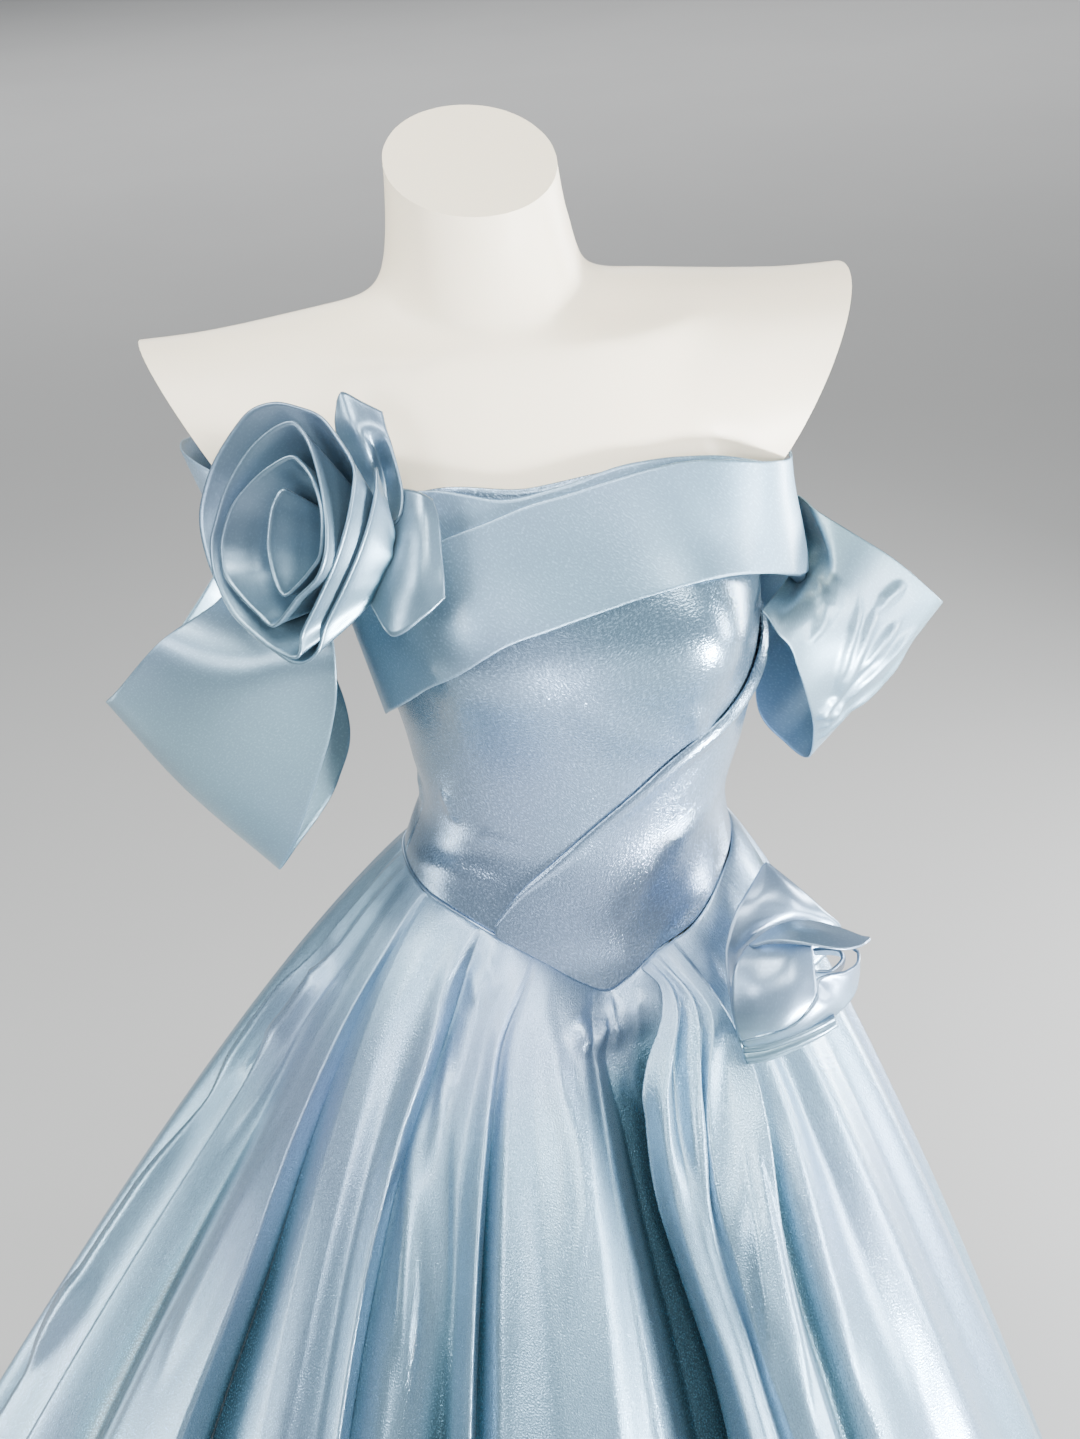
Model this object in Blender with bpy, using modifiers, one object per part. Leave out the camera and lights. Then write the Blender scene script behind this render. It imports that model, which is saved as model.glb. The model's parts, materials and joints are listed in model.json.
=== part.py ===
"""Off-the-shoulder ball gown, worn on a smooth dress form with a pole and a round base.

Metres, +Z up, the floor at Z = 0 and the wearer facing -Y.
Angles are degrees round the body: 0 at the front, +90 at the wearer's left (+X).
"""
import math

import bmesh
import bpy
import numpy as np
from mathutils import Vector

# ---------------------------------------------------------------- driving sizes
CLOTH = 0.0012            # wall of the gown's cloth
FORM_GAP = 0.0006         # between the form and the bodice
SEAM_GAP = 0.0003         # between two pieces that are sewn edge to edge
SKIRT_DROP = 0.0011       # from the waist seam down to the top of the skirt
LAYER = 0.0020            # rise from one layer of cloth to the next
FORM_EASE = 0.0009        # how far the form stays inside the body's outline
HEM_HEIGHT = 0.005
COLUMN_STEP = 9           # degrees between two columns of a bodice piece

TOP_OFFSET = FORM_GAP + CLOTH / 2
WRAP_OFFSET = TOP_OFFSET + LAYER
UNDER_BAND_OFFSET = TOP_OFFSET + LAYER
OVER_BAND_OFFSET = TOP_OFFSET + 2.2 * LAYER

SHOULDER_CENTRE_X = -0.0255
SHOULDER_HALF = 0.2135    # half of the width over the two arm cuts
SHOULDER_TOP = 1.391
ARM_CUT_SLOPE = math.radians(28)
ARM_CUT_LENGTH = 0.158
NECK_TOP = (-0.040, -0.015, 1.4795)
NECK_TILT = math.radians(27)
FORM_BOTTOM = 0.86
POLE_RADIUS = 0.016
BASE_RADIUS = 0.185
BASE_HEIGHT = 0.012
FORM_FACES = 1900         # triangles of the form before its flat cuts

# The body, by height: middle in X, half width, depth to the front and to the back.
TORSO = [
    (0.86, -0.002, 0.1500, 0.100, 0.120),
    (0.93, -0.002, 0.1380, 0.100, 0.108),
    (1.00, -0.008, 0.1130, 0.096, 0.088),
    (1.03, -0.008, 0.1060, 0.091, 0.082),
    (1.06, -0.003, 0.0980, 0.088, 0.078),
    (1.11, 0.002, 0.1065, 0.094, 0.085),
    (1.16, 0.002, 0.1170, 0.102, 0.094),
    (1.21, -0.002, 0.1245, 0.108, 0.100),
    (1.27, -0.012, 0.1260, 0.100, 0.102),
    (1.33, -0.019, 0.1300, 0.084, 0.098),
    (1.39, -0.026, 0.1300, 0.070, 0.085),
]
BUST_OUT = 0.020
BUST_ANGLE = 33
BUST_HEIGHT = 1.205

# The shoulders, by distance from their middle: height of the axis, half depth, half height.
SHOULDERS = [
    (0.00, 1.310, 0.080, 0.098),
    (0.10, 1.315, 0.071, 0.085),
    (0.16, 1.324, 0.059, 0.069),
    (0.25, 1.334, 0.051, 0.058),
]
# The neck, by height: middle in X and Y, radius.
NECK = [
    (1.34, -0.030, 0.018, 0.082),
    (1.39, -0.033, 0.010, 0.066),
    (1.43, -0.036, 0.000, 0.056),
    (1.48, -0.040, -0.014, 0.050),
    (1.54, -0.045, -0.026, 0.050),
]

# The waist seam: a long point at the front, nearly level at the sides and the back.
WAIST_SEAM = [(-180, 1.006), (-135, 1.018), (-90, 1.028), (-67, 1.025), (-50, 1.019),
              (-38, 1.010), (-20, 0.991), (-8, 0.974), (0, 0.966), (8, 0.972), (20, 0.987),
              (38, 0.999), (50, 1.013), (67, 1.025), (90, 1.028), (135, 1.018), (180, 1.006)]
# The skirt's mean radius at the floor; the gown is fuller at the wearer's right and back.
HEM_RADIUS = [(-180, 0.76), (-150, 0.80), (-117, 0.77), (-60, 0.70), (0, 0.62),
              (45, 0.53), (62, 0.49), (80, 0.46), (100, 0.47), (120, 0.53), (150, 0.64),
              (180, 0.76)]
# How the skirt springs out under the waist: below 1 it swells at once, at 1 it is a cone.
SKIRT_SWELL = [(-180, 0.88), (-110, 0.885), (-70, 0.84), (0, 0.82), (70, 0.80), (110, 0.84),
               (180, 0.88)]
NECKLINE = [(-180, 1.268), (-135, 1.262), (-105, 1.238), (-75, 1.238), (-60, 1.290),
            (-50, 1.304), (-9, 1.308), (31, 1.311), (50, 1.306), (60, 1.292),
            (75, 1.238), (105, 1.238), (135, 1.262), (180, 1.268)]
# The edge of the lower overlay, from the waist seam up to the side seam.
OVERLAY_EDGE = [(-38, 1.0115), (-29, 1.037), (-18.5, 1.056), (-4.5, 1.078), (9, 1.098),
                (30, 1.130), (39, 1.140), (47.5, 1.149), (68, 1.170), (90, 1.186)]

# Shoulder bands: angle, height of the two edges, distance from the body at each edge.
UNDER_BAND = [
    (-128, 1.306, 1.256, 0.052, 0.048),
    (-110, 1.313, 1.256, 0.070, 0.066),
    (-100, 1.320, 1.256, 0.073, 0.067),
    (-90, 1.329, 1.256, 0.074, 0.064),
    (-80, 1.332, 1.256, 0.074, 0.064),
    (-70, 1.328, 1.258, 0.066, 0.058),
    (-60, 1.321, 1.268, 0.036, 0.033),
    (-52, 1.315, 1.279, 0.017, 0.017),
    (-46, 1.312, 1.284, 0.0085, 0.0085),
    (-38, 1.311, 1.283, 0.0042, 0.0042),
    (-30, 1.308, 1.268, UNDER_BAND_OFFSET, UNDER_BAND_OFFSET),
    (-20, 1.304, 1.256, UNDER_BAND_OFFSET, UNDER_BAND_OFFSET),
    (0, 1.307, 1.256, UNDER_BAND_OFFSET, UNDER_BAND_OFFSET),
    (30, 1.314, 1.272, UNDER_BAND_OFFSET, UNDER_BAND_OFFSET),
    (45, 1.311, 1.272, 0.0038, 0.0038),
    (55, 1.306, 1.268, 0.0095, 0.0095),
    (66, 1.294, 1.262, 0.0190, 0.0190),
]
OVER_BAND = [
    (-97, 1.232, 1.130, 0.0085, 0.0090),
    (-88, 1.240, 1.136, 0.0095, 0.0100),
    (-76, 1.246, 1.150, 0.0100, 0.0095),
    (-64, 1.250, 1.166, 0.0100, 0.0085),
    (-56, 1.257, 1.178, 0.0090, 0.0065),
    (-46, 1.272, 1.194, 0.0075, OVER_BAND_OFFSET),
    (-37, 1.284, 1.207, 0.0072, OVER_BAND_OFFSET),
    (-24, 1.293, 1.225, OVER_BAND_OFFSET, OVER_BAND_OFFSET),
    (-11, 1.300, 1.231, OVER_BAND_OFFSET, OVER_BAND_OFFSET),
    (4, 1.304, 1.237, OVER_BAND_OFFSET, OVER_BAND_OFFSET),
    (19, 1.308, 1.243, OVER_BAND_OFFSET, OVER_BAND_OFFSET),
    (33, 1.310, 1.245, OVER_BAND_OFFSET + 0.0004, OVER_BAND_OFFSET),
    (45, 1.309, 1.240, 0.0085, 0.0078),
    (55, 1.304, 1.232, 0.0158, 0.0155),
    (66, 1.294, 1.220, 0.0255, 0.0250),
    (75, 1.287, 1.211, 0.0310, 0.0310),
    (84, 1.284, 1.204, 0.0330, 0.0335),
]
BACK_BAND = [
    (92, 1.281, 1.215, 0.0320, 0.0325),
    (100, 1.280, 1.215, 0.0310, 0.0315),
    (108, 1.279, 1.215, 0.0285, 0.0285),
    (122, 1.279, 1.215, 0.0180, 0.0170),
    (138, 1.281, 1.215, 0.0075, 0.0065),
    (160, 1.285, 1.216, UNDER_BAND_OFFSET, UNDER_BAND_OFFSET),
    (180, 1.290, 1.220, UNDER_BAND_OFFSET, UNDER_BAND_OFFSET),
    (200, 1.294, 1.226, UNDER_BAND_OFFSET + 0.001, UNDER_BAND_OFFSET),
    (212, 1.298, 1.236, 0.010, 0.008),
    (222, 1.302, 1.246, 0.027, 0.025),
    (231.6, 1.306, 1.256, 0.0515, 0.0475),
]

# Sleeve loops: one row per section along the strip, its upper edge, middle and lower edge.
# Where a loop is sewn to a band the row gives three angles on the band's lower edge.
RIGHT_ARM_FRONT_SEAM = (-86, -74, -62)
RIGHT_ARM_BACK_SEAM = (-95, -103, -112)
RIGHT_ARM_LOOP = [
    ((-0.213, -0.050, 1.248), (-0.186, -0.084, 1.234), (-0.153, -0.102, 1.222)),
    ((-0.250, -0.066, 1.233), (-0.208, -0.089, 1.205), (-0.160, -0.091, 1.172)),
    ((-0.280, -0.052, 1.199), (-0.239, -0.069, 1.150), (-0.187, -0.065, 1.090)),
    ((-0.289, -0.033, 1.184), (-0.250, -0.040, 1.121), (-0.200, -0.037, 1.053)),
    ((-0.281, -0.012, 1.181), (-0.241, -0.012, 1.119), (-0.189, -0.012, 1.051)),
    ((-0.252, 0.006, 1.195), (-0.208, 0.012, 1.145), (-0.154, 0.010, 1.086)),
    ((-0.226, 0.014, 1.222), (-0.186, 0.026, 1.184), (-0.144, 0.024, 1.138)),
]
LEFT_ARM_BACK_SEAM = (97, 106, 116)
LEFT_ARM_LOOP = [
    ((0.1425, -0.001, 1.261), (0.139, -0.018, 1.184), (0.109, -0.080, 1.204)),
    ((0.1530, 0.002, 1.262), (0.149, -0.018, 1.184), (0.113, -0.088, 1.196)),
    ((0.165, -0.008, 1.260), (0.162, -0.032, 1.192), (0.119, -0.091, 1.188)),
    ((0.174, -0.032, 1.249), (0.166, -0.056, 1.196), (0.126, -0.087, 1.177)),
    ((0.188, -0.044, 1.226), (0.166, -0.066, 1.190), (0.134, -0.078, 1.160)),
    ((0.215, -0.035, 1.200), (0.182, -0.055, 1.166), (0.143, -0.064, 1.132)),
    ((0.242, -0.022, 1.172), (0.200, -0.037, 1.134), (0.151, -0.046, 1.098)),
    ((0.250, -0.004, 1.160), (0.206, -0.013, 1.115), (0.155, -0.022, 1.069)),
    ((0.241, 0.014, 1.156), (0.198, 0.011, 1.111), (0.147, 0.004, 1.068)),
    ((0.206, 0.028, 1.178), (0.172, 0.030, 1.132), (0.134, 0.024, 1.086)),
    ((0.176, 0.034, 1.200), (0.154, 0.040, 1.166), (0.136, 0.040, 1.132)),
]

# Skirt folds. Each line runs down the skirt: (share of the way down, angle, height in mm).
# A pointed line is a crease; the others are round.
FRONT_FOLDS = [
    ("side seam", 0, [(0, -95, 1), (0.1, -98, -6), (0.3, -103, -12), (1, -106, -35)]),
    ("gloss one", 1, [(0, -91, 2), (0.1, -93, 8), (0.3, -99, 14), (1, -101, 35)]),
    ("hollow one", 0, [(0, -87, 1), (0.1, -88, -2), (0.3, -94, -6), (1, -96, -25)]),
    ("gloss two", 1, [(0, -83, 2), (0.1, -84, 8), (0.3, -88, 14), (1, -90, 35)]),
    ("hollow two", 0, [(0, -79, 1), (0.1, -79, -4), (0.3, -81, -10), (1, -83, -30)]),
    ("ridge", 0, [(0, -73, 2), (0.1, -72, 4), (0.3, -73, 10), (1, -75, 30)]),
    ("pleat one", 1, [(0, -66.5, 3), (0.03, -65.8, 5), (0.06, -66, 7), (0.124, -65, 10),
                      (0.21, -62.8, 13), (0.3, -62.5, 16), (1, -65, 38)]),
    ("pleat one under", 0, [(0, -65.4, 0.6), (0.06, -64, -3), (0.124, -62.8, -8),
                            (0.21, -60.3, -10), (0.3, -59.8, -12), (1, -61.8, -30)]),
    ("pleat one inner", 1, [(0, -63.5, 1.2), (0.06, -60.5, 4), (0.1, -58.6, 5),
                            (0.15, -56.6, 6), (0.2, -55, 6), (0.3, -52.4, 6), (1, -54.5, 8)]),
    ("panel two", 0, [(0, -56, 1.5), (0.06, -56.5, 5), (0.1, -54, 6), (0.2, -50.5, 9),
                      (0.3, -48.6, 11), (1, -50, 32)]),
    ("hollow three", 0, [(0, -50, 1), (0.1, -49.8, 0), (0.3, -45.5, 2), (1, -46, 10)]),
    ("pleat two", 1, [(0, -43, 2.5), (0.026, -45, 6), (0.05, -43.5, 9), (0.1, -44, 12),
                      (0.17, -43.6, 13), (0.3, -41.4, 15), (1, -41, 36)]),
    ("pleat two under", 0, [(0, -41.5, 0.6), (0.026, -42.3, -8), (0.05, -41, -10),
                            (0.1, -41.8, -6), (0.2, -41.2, -6), (0.3, -39.6, -6), (1, -39.2, -14)]),
    ("panel three", 0, [(0, -36, 1.5), (0.05, -36, 2), (0.1, -38.2, 4), (0.2, -37.5, 8),
                        (0.3, -36.4, 10), (1, -35, 26)]),
    ("valley three", 0, [(0, -31.5, 0.8), (0.05, -33, 1), (0.1, -33.6, 0), (0.175, -32.4, -6),
                         (0.3, -30.8, -12), (1, -28.5, -34)]),
    ("pleat three", 1, [(0, -24.5, 2.5), (0.033, -29, 6), (0.07, -29.2, 9), (0.1, -28.7, 10),
                        (0.175, -27.4, 12), (0.25, -26.2, 13), (1, -21.5, 34)]),
    ("pleat three under", 0, [(0, -23.2, 0.8), (0.033, -26.8, -2), (0.07, -26.9, -4),
                              (0.1, -26.6, -5), (0.175, -25.5, -6), (0.25, -24.4, -7),
                              (1, -19.8, -14)]),
    ("centre panel", 0, [(0, -17, 1.5), (0.03, -19.5, 5), (0.1, -18, 14), (0.2, -15, 19),
                         (0.3, -14, 21), (1, -11, 38)]),
    ("gather", 0, [(0, -9, 2.5), (0.02, -10, 6), (0.04, -10, 5), (0.1, -9.5, 13),
                   (0.3, -8, 17), (1, -5, 30)]),
    ("gather hollow", 0, [(0, -4, 0.8), (0.02, -6.5, -1), (0.05, -6, -2), (0.1, -5.2, 2),
                          (0.2, -3.6, 2), (0.3, -2.4, 2), (1, 0.5, 4)]),
    ("deep hollow", 0, [(0, 4, 0.8), (0.03, -2.5, -8), (0.077, -1, -18), (0.14, 1, -26),
                        (0.2, 3, -32), (0.3, 4.5, -36), (1, 6, -55)]),
    ("under the overskirt", 0, [(0, 14, 0.8), (0.03, 9, -12), (0.1, 8, -24), (0.3, 11, -36),
                                (1, 13, -56)]),
    ("under edge", 0, [(0, 26, 0.6), (0.03, 22, -9), (0.1, 20, -20), (0.3, 20, -32),
                       (1, 23, -52)]),
]
OVERSKIRT_FOLDS = [
    ("free edge", 0, [(0, 14, 4), (0.012, 16.5, 8), (0.02, 13, 14), (0.028, 7.5, 18),
                      (0.04, 3.8, 20), (0.06, 3, 15), (0.1, 2.6, 5), (0.15, 4.6, -6),
                      (0.21, 7, -10), (0.3, 7.8, -12), (0.6, 9.8, -16), (1, 12.5, -20)]),
    ("rolled crest", 0, [(0, 16, 4), (0.012, 18.5, 12), (0.02, 16.5, 20), (0.028, 12, 26),
                         (0.04, 8, 30), (0.06, 6.1, 29), (0.1, 5.4, 25), (0.2, 8.2, 24),
                         (0.3, 9.4, 26), (0.6, 12.5, 34), (1, 17, 42)]),
    ("roll under", 0, [(0, 17.6, 3.4), (0.02, 20, 8), (0.04, 13.5, 12), (0.06, 10.5, 14),
                       (0.1, 8.8, 17), (0.2, 10.2, 18), (0.3, 11.4, 19), (1, 20, 22)]),
    ("knot fold", 0, [(0, 19.2, 4), (0.02, 22.5, 14), (0.05, 16.4, 22), (0.08, 12.5, 22),
                      (0.1, 11, 21), (0.2, 11.6, 22), (0.3, 12.9, 24), (1, 23, 32)]),
    ("teal hollow", 0, [(0, 20.8, 3.4), (0.03, 23, 11), (0.06, 17.4, 12), (0.1, 12.4, 11),
                        (0.156, 12.1, 12), (0.3, 14.1, 14), (1, 25.5, 20)]),
    ("left leg", 1, [(0, 22.4, 4), (0.033, 24.8, 18), (0.052, 19.8, 19), (0.075, 15.8, 19),
                     (0.104, 13.7, 20), (0.156, 13.3, 20), (0.3, 15.4, 25), (1, 29, 38)]),
    ("between the legs", 0, [(0, 24.2, 4), (0.033, 26.5, 18), (0.06, 24, 13.5), (0.1, 19.5, 18),
                             (0.156, 17, 25), (0.3, 17.8, 31), (1, 33, 48)]),
    ("right leg", 1, [(0, 26, 4), (0.033, 28.2, 18), (0.051, 28.6, 19), (0.072, 28.6, 19),
                      (0.094, 27, 20), (0.15, 22, 22), (0.2, 20, 24), (0.275, 19.6, 27),
                      (1, 37, 42)]),
    ("right leg under", 0, [(0, 28, 3.4), (0.05, 31.4, 6), (0.1, 30, 3), (0.15, 26, -1),
                            (0.2, 24, 0), (0.275, 23.6, 0), (1, 42, 4)]),
    ("crest two", 0, [(0, 32, 4), (0.05, 35, 7), (0.1, 34, 9), (0.2, 29, 10), (0.3, 28, 13),
                      (1, 48, 28)]),
    ("soft hollow", 0, [(0, 38, 3.4), (0.09, 40.5, -1), (0.156, 39.5, -2), (0.21, 38.5, 0),
                        (0.3, 38, 2), (1, 56, 6)]),
    ("crest three", 0, [(0, 46, 4), (0.1, 46, 7), (0.2, 45, 11), (0.3, 44, 14), (1, 62, 28)]),
    ("hollow four", 0, [(0, 54, 3.4), (0.1, 55, 2), (0.3, 53, 3), (1, 69, 2)]),
    ("crest four", 0, [(0, 63, 4), (0.1, 64, 9), (0.2, 62, 12), (0.3, 61, 14), (1, 76, 26)]),
    ("hollow five", 0, [(0, 76, 3.4), (0.1, 77, 0), (0.3, 75, -4), (1, 83, -14)]),
    ("side seam", 0, [(0, 90, 3.4), (0.1, 90, -6), (0.3, 89, -20), (1, 91, -40)]),
]
# Folds at the sides and the back: angle at the waist, angle at the hem, height in mm.
BACK_FOLDS = [
    (98, 99, 34), (104, 105, -26), (112, 111, 40), (118, 117.5, -34),
    (125, 124, 33), (131, 130, -24), (139, 138, 42), (145, 145, -36), (152, 151, 30),
    (158, 158, -28), (166, 165, 38), (173, 172, -30), (180, 180, -34), (187, 188, 36),
    (193, 194, -30), (201, 201, 42), (207, 208, -26), (214, 214, 30), (220, 220, -36),
    (228, 227, 40), (234, 233, -28), (241, 239, 34), (248, 244, -34), (256, 248, 38),
]
# How a back fold's height grows from the waist to the hem.
BACK_GROWTH = [(0, 0.03), (0.1, 0.22), (0.3, 0.45), (1, 1.0)]
CENTRE_BACK = 13          # number of the line where the two back panels are sewn
SKIRT_ROWS = [0, 0.02, 0.05, 0.1, 0.17, 0.28, 0.42, 0.6, 0.8, 1]
OVERSKIRT_ROWS = [0, 0.01, 0.02, 0.03, 0.045, 0.065, 0.1, 0.15, 0.21, 0.3, 0.42, 0.6, 0.8, 1]

# Roses: middle, the way it faces, half width, half height, depth, turns.
SHOULDER_ROSE = ((-0.182, -0.1334, 1.3106), (-0.56, -0.76, 0.33), 0.058, 0.081, 0.058, 4.2)
HIP_ROSE = ((0.1259, -0.1339, 0.9632), (0.22, -0.74, 0.64), 0.045, 0.037, 0.032, 3.2)

# Loose petals, each a net of three or four rows from its root to its tip.
PETALS = {
    "petal_shoulder_upright": [
        [(-0.1293, -0.1013, 1.2926), (-0.1213, -0.1073, 1.2966), (-0.1133, -0.1053, 1.2986)],
        [(-0.1393, -0.0853, 1.3326), (-0.1233, -0.1013, 1.3326), (-0.1063, -0.1063, 1.3296)],
        [(-0.1413, -0.0833, 1.3586), (-0.1253, -0.0973, 1.3586), (-0.1083, -0.0953, 1.3486)],
        [(-0.1343, -0.0813, 1.3796), (-0.1253, -0.0893, 1.3746), (-0.1133, -0.0873, 1.3646)],
    ],
    "petal_shoulder_square": [
        [(-0.1214, -0.1072, 1.2945), (-0.1134, -0.1132, 1.3085), (-0.1074, -0.1072, 1.3205)],
        [(-0.1274, -0.1152, 1.2765), (-0.1104, -0.1282, 1.2895), (-0.0934, -0.1152, 1.3155)],
        [(-0.1314, -0.1162, 1.2585), (-0.1074, -0.1322, 1.2665), (-0.0894, -0.1172, 1.3005)],
        [(-0.1224, -0.1232, 1.2455), (-0.1064, -0.1332, 1.2515), (-0.0904, -0.1252, 1.2655)],
    ],
    "petal_hip_hood": [
        [(0.0687, -0.1438, 0.9448), (0.0717, -0.1508, 0.9468), (0.0757, -0.1568, 0.9488)],
        [(0.0667, -0.1378, 0.9778), (0.0687, -0.1478, 0.9808), (0.0767, -0.1518, 0.9838)],
        [(0.0657, -0.1238, 0.9968), (0.0727, -0.1378, 0.9998), (0.0857, -0.1518, 1.0058)],
        [(0.0817, -0.1038, 1.0238), (0.0907, -0.1178, 1.0198), (0.1007, -0.1438, 1.0158)],
        [(0.1057, -0.0858, 1.0318), (0.1107, -0.1038, 1.0218), (0.1167, -0.1378, 1.0118)],
        [(0.1347, -0.0838, 0.9998), (0.1337, -0.1038, 1.0018), (0.1327, -0.1318, 1.0018)],
        [(0.1577, -0.0838, 0.9738), (0.1547, -0.1038, 0.9818), (0.1487, -0.1238, 0.9898)],
    ],
    "petal_hip_point": [
        [(0.0850, -0.1553, 1.0047), (0.0930, -0.1513, 1.0117), (0.0990, -0.1453, 1.0167)],
        [(0.1110, -0.1653, 1.0027), (0.1150, -0.1553, 1.0107), (0.1190, -0.1433, 1.0147)],
        [(0.1390, -0.1573, 0.9947), (0.1410, -0.1473, 1.0007), (0.1410, -0.1353, 1.0037)],
        [(0.1600, -0.1393, 0.9907), (0.1620, -0.1353, 0.9927), (0.1610, -0.1313, 0.9947)],
    ],
    "petal_hip_square": [
        [(0.0800, -0.1532, 1.0016), (0.0960, -0.1612, 1.0016), (0.1110, -0.1592, 1.0006)],
        [(0.0740, -0.1532, 0.9796), (0.0920, -0.1672, 0.9836), (0.1140, -0.1652, 0.9836)],
        [(0.0710, -0.1552, 0.9536), (0.0890, -0.1652, 0.9586), (0.1050, -0.1672, 0.9656)],
    ],
}

COLOURS = {
    "cloth": (0.50, 0.64, 0.74), "form": (0.80, 0.74, 0.66), "metal": (0.55, 0.56, 0.58),
}


# ---------------------------------------------------------------- small tools
def clear_scene():
    for thing in list(bpy.data.objects):
        bpy.data.objects.remove(thing, do_unlink=True)


def collection_named(name):
    group = bpy.data.collections.get(name) or bpy.data.collections.new(name)
    if group.name not in bpy.context.scene.collection.children:
        bpy.context.scene.collection.children.link(group)
    return group


def material_for(name, kind):
    """Give one piece its own plain Principled material."""
    made = bpy.data.materials.new(name + "_finish")
    made.use_nodes = True
    shader = made.node_tree.nodes["Principled BSDF"]
    shader.inputs["Base Color"].default_value = (*COLOURS[kind], 1)
    shader.inputs["Roughness"].default_value = 0.5 if kind == "form" else 0.32
    shader.inputs["Metallic"].default_value = 1.0 if kind == "metal" else 0.0
    return made


def along(where, rows, column):
    """Read one column of a table smoothly at the places asked for."""
    knots = np.array([row[0] for row in rows], float)
    values = np.array([row[column] for row in rows], float)
    step = np.diff(knots)
    chord = np.diff(values) / step
    slope = np.empty(len(knots))
    slope[0], slope[-1] = chord[0], chord[-1]
    left, right = step[:-1], step[1:]
    slope[1:-1] = (chord[:-1] * right + chord[1:] * left) / (left + right)
    x = np.clip(np.asarray(where, float), knots[0], knots[-1])
    i = np.clip(np.searchsorted(knots, x) - 1, 0, len(step) - 1)
    t = (x - knots[i]) / step[i]
    return ((2 * t**3 - 3 * t**2 + 1) * values[i] + (t**3 - 2 * t**2 + t) * step[i] * slope[i]
            + (3 * t**2 - 2 * t**3) * values[i + 1] + (t**3 - t**2) * step[i] * slope[i + 1])


def bump(distance, width):
    return np.exp(-(distance / width) ** 2)


def half_turn(angle):
    """Bring an angle into -180 to 180 degrees."""
    return (np.asarray(angle, float) + 180) % 360 - 180


def body(angle, height, out=0.0):
    """Point on the body's outline, moved outward by out."""
    angle = half_turn(angle)
    height = np.asarray(height, float)
    middle, wide, front, back = [along(height, TORSO, k) for k in (1, 2, 3, 4)]
    turn = np.radians(angle)
    side, ahead = np.sin(turn), np.cos(turn)
    deep = np.where(ahead > 0, front, back)
    n = 2.3
    radius = ((np.abs(side) / wide) ** n + (np.abs(ahead) / deep) ** n) ** (-1 / n)
    level = bump(height - BUST_HEIGHT, 0.054)
    radius = radius + BUST_OUT * level * (bump(angle - BUST_ANGLE, 19) + bump(angle + BUST_ANGLE, 19))
    radius = radius + 0.006 * bump(angle, 22) * bump(height - 1.2, 0.05) + out
    return np.stack([middle + radius * side, -radius * ahead, height + 0 * radius], -1)


def spread(first, last, step):
    """Whole multiples of step between two ends, with the ends themselves."""
    low = math.floor(first / step) + 1
    inside = [k * step for k in range(low, math.ceil(last / step))]
    inside = [x for x in inside if x - first > 0.25 * step and last - x > 0.25 * step]
    return np.array([first, *inside, last])


def smooth_net(net, rows, columns):
    """Resample a coarse net of points into rows by columns."""
    net = np.array(net, float)
    for axis, count in ((0, rows), (1, columns)):
        net = np.moveaxis(net, axis, 0)
        table = [(k, *np.ravel(line)) for k, line in enumerate(net)]
        where = np.linspace(0, len(net) - 1, count + 1)
        width = net[0].size
        fine = np.stack([along(where, table, 1 + c) for c in range(width)], -1)
        net = np.moveaxis(fine.reshape((count + 1,) + net.shape[1:]), 0, axis)
    return net


def cloth_normals(grid):
    across = np.gradient(grid, axis=0)
    down = np.gradient(grid, axis=1)
    normal = np.cross(across, down)
    return normal / np.maximum(np.linalg.norm(normal, axis=-1, keepdims=True), 1e-9)


def object_from(name, points, faces, kind, group):
    mesh = bpy.data.meshes.new(name)
    mesh.from_pydata([tuple(p) for p in points], [], faces)
    made = bpy.data.objects.new(name, mesh)
    group.objects.link(made)
    net = bmesh.new()
    net.from_mesh(mesh)
    bmesh.ops.recalc_face_normals(net, faces=net.faces)
    net.to_mesh(mesh)
    net.free()
    mesh.materials.append(material_for(name, kind))
    return made


def halves(grid, row, column):
    """The two triangles of one square of a sheet, split along its shorter diagonal."""
    a, b = (row, column), (row, column + 1)
    c, d = (row + 1, column + 1), (row + 1, column)
    if np.linalg.norm(grid[a] - grid[c]) <= np.linalg.norm(grid[b] - grid[d]):
        return [(a, b, c), (a, c, d)]
    return [(a, b, d), (b, c, d)]


def cloth_wall(name, grid, group, thick=CLOTH):
    """Close a sheet of points into a wall of cloth with its four edges."""
    grid = np.array(grid, float)
    normal = cloth_normals(grid)
    sides = [grid + normal * thick / 2, grid - normal * thick / 2]
    rows, columns = grid.shape[:2]
    points = np.concatenate([side.reshape(-1, 3) for side in sides])

    def spot(face, row, column):
        return face * rows * columns + row * columns + column

    faces = []
    for r in range(rows - 1):
        for c in range(columns - 1):
            for corners in halves(grid, r, c):
                faces.append([spot(1, *p) for p in corners])
                faces.append([spot(0, *p) for p in corners[::-1]])
    rim = [(r, 0) for r in range(rows)] + [(rows - 1, c) for c in range(1, columns)]
    rim += [(r, columns - 1) for r in range(rows - 2, -1, -1)]
    rim += [(0, c) for c in range(columns - 2, 0, -1)]
    for here, there in zip(rim, rim[1:] + rim[:1]):
        faces.append([spot(0, *here), spot(0, *there), spot(1, *there), spot(1, *here)])
    return object_from(name, points, faces, "cloth", group)


# ---------------------------------------------------------------- the dress form
def lofted(name, rings, kind, group):
    """Join closed rings of points into one capped solid."""
    rings = np.array(rings, float)
    count, around = rings.shape[:2]
    faces = []
    for r in range(count - 1):
        for c in range(around):
            d = (c + 1) % around
            a, b = r * around, (r + 1) * around
            faces.append([a + c, a + d, b + d, b + c])
    faces.append(list(range(around)))
    faces.append([(count - 1) * around + c for c in range(around)][::-1])
    return object_from(name, rings.reshape(-1, 3), faces, kind, group)


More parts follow.
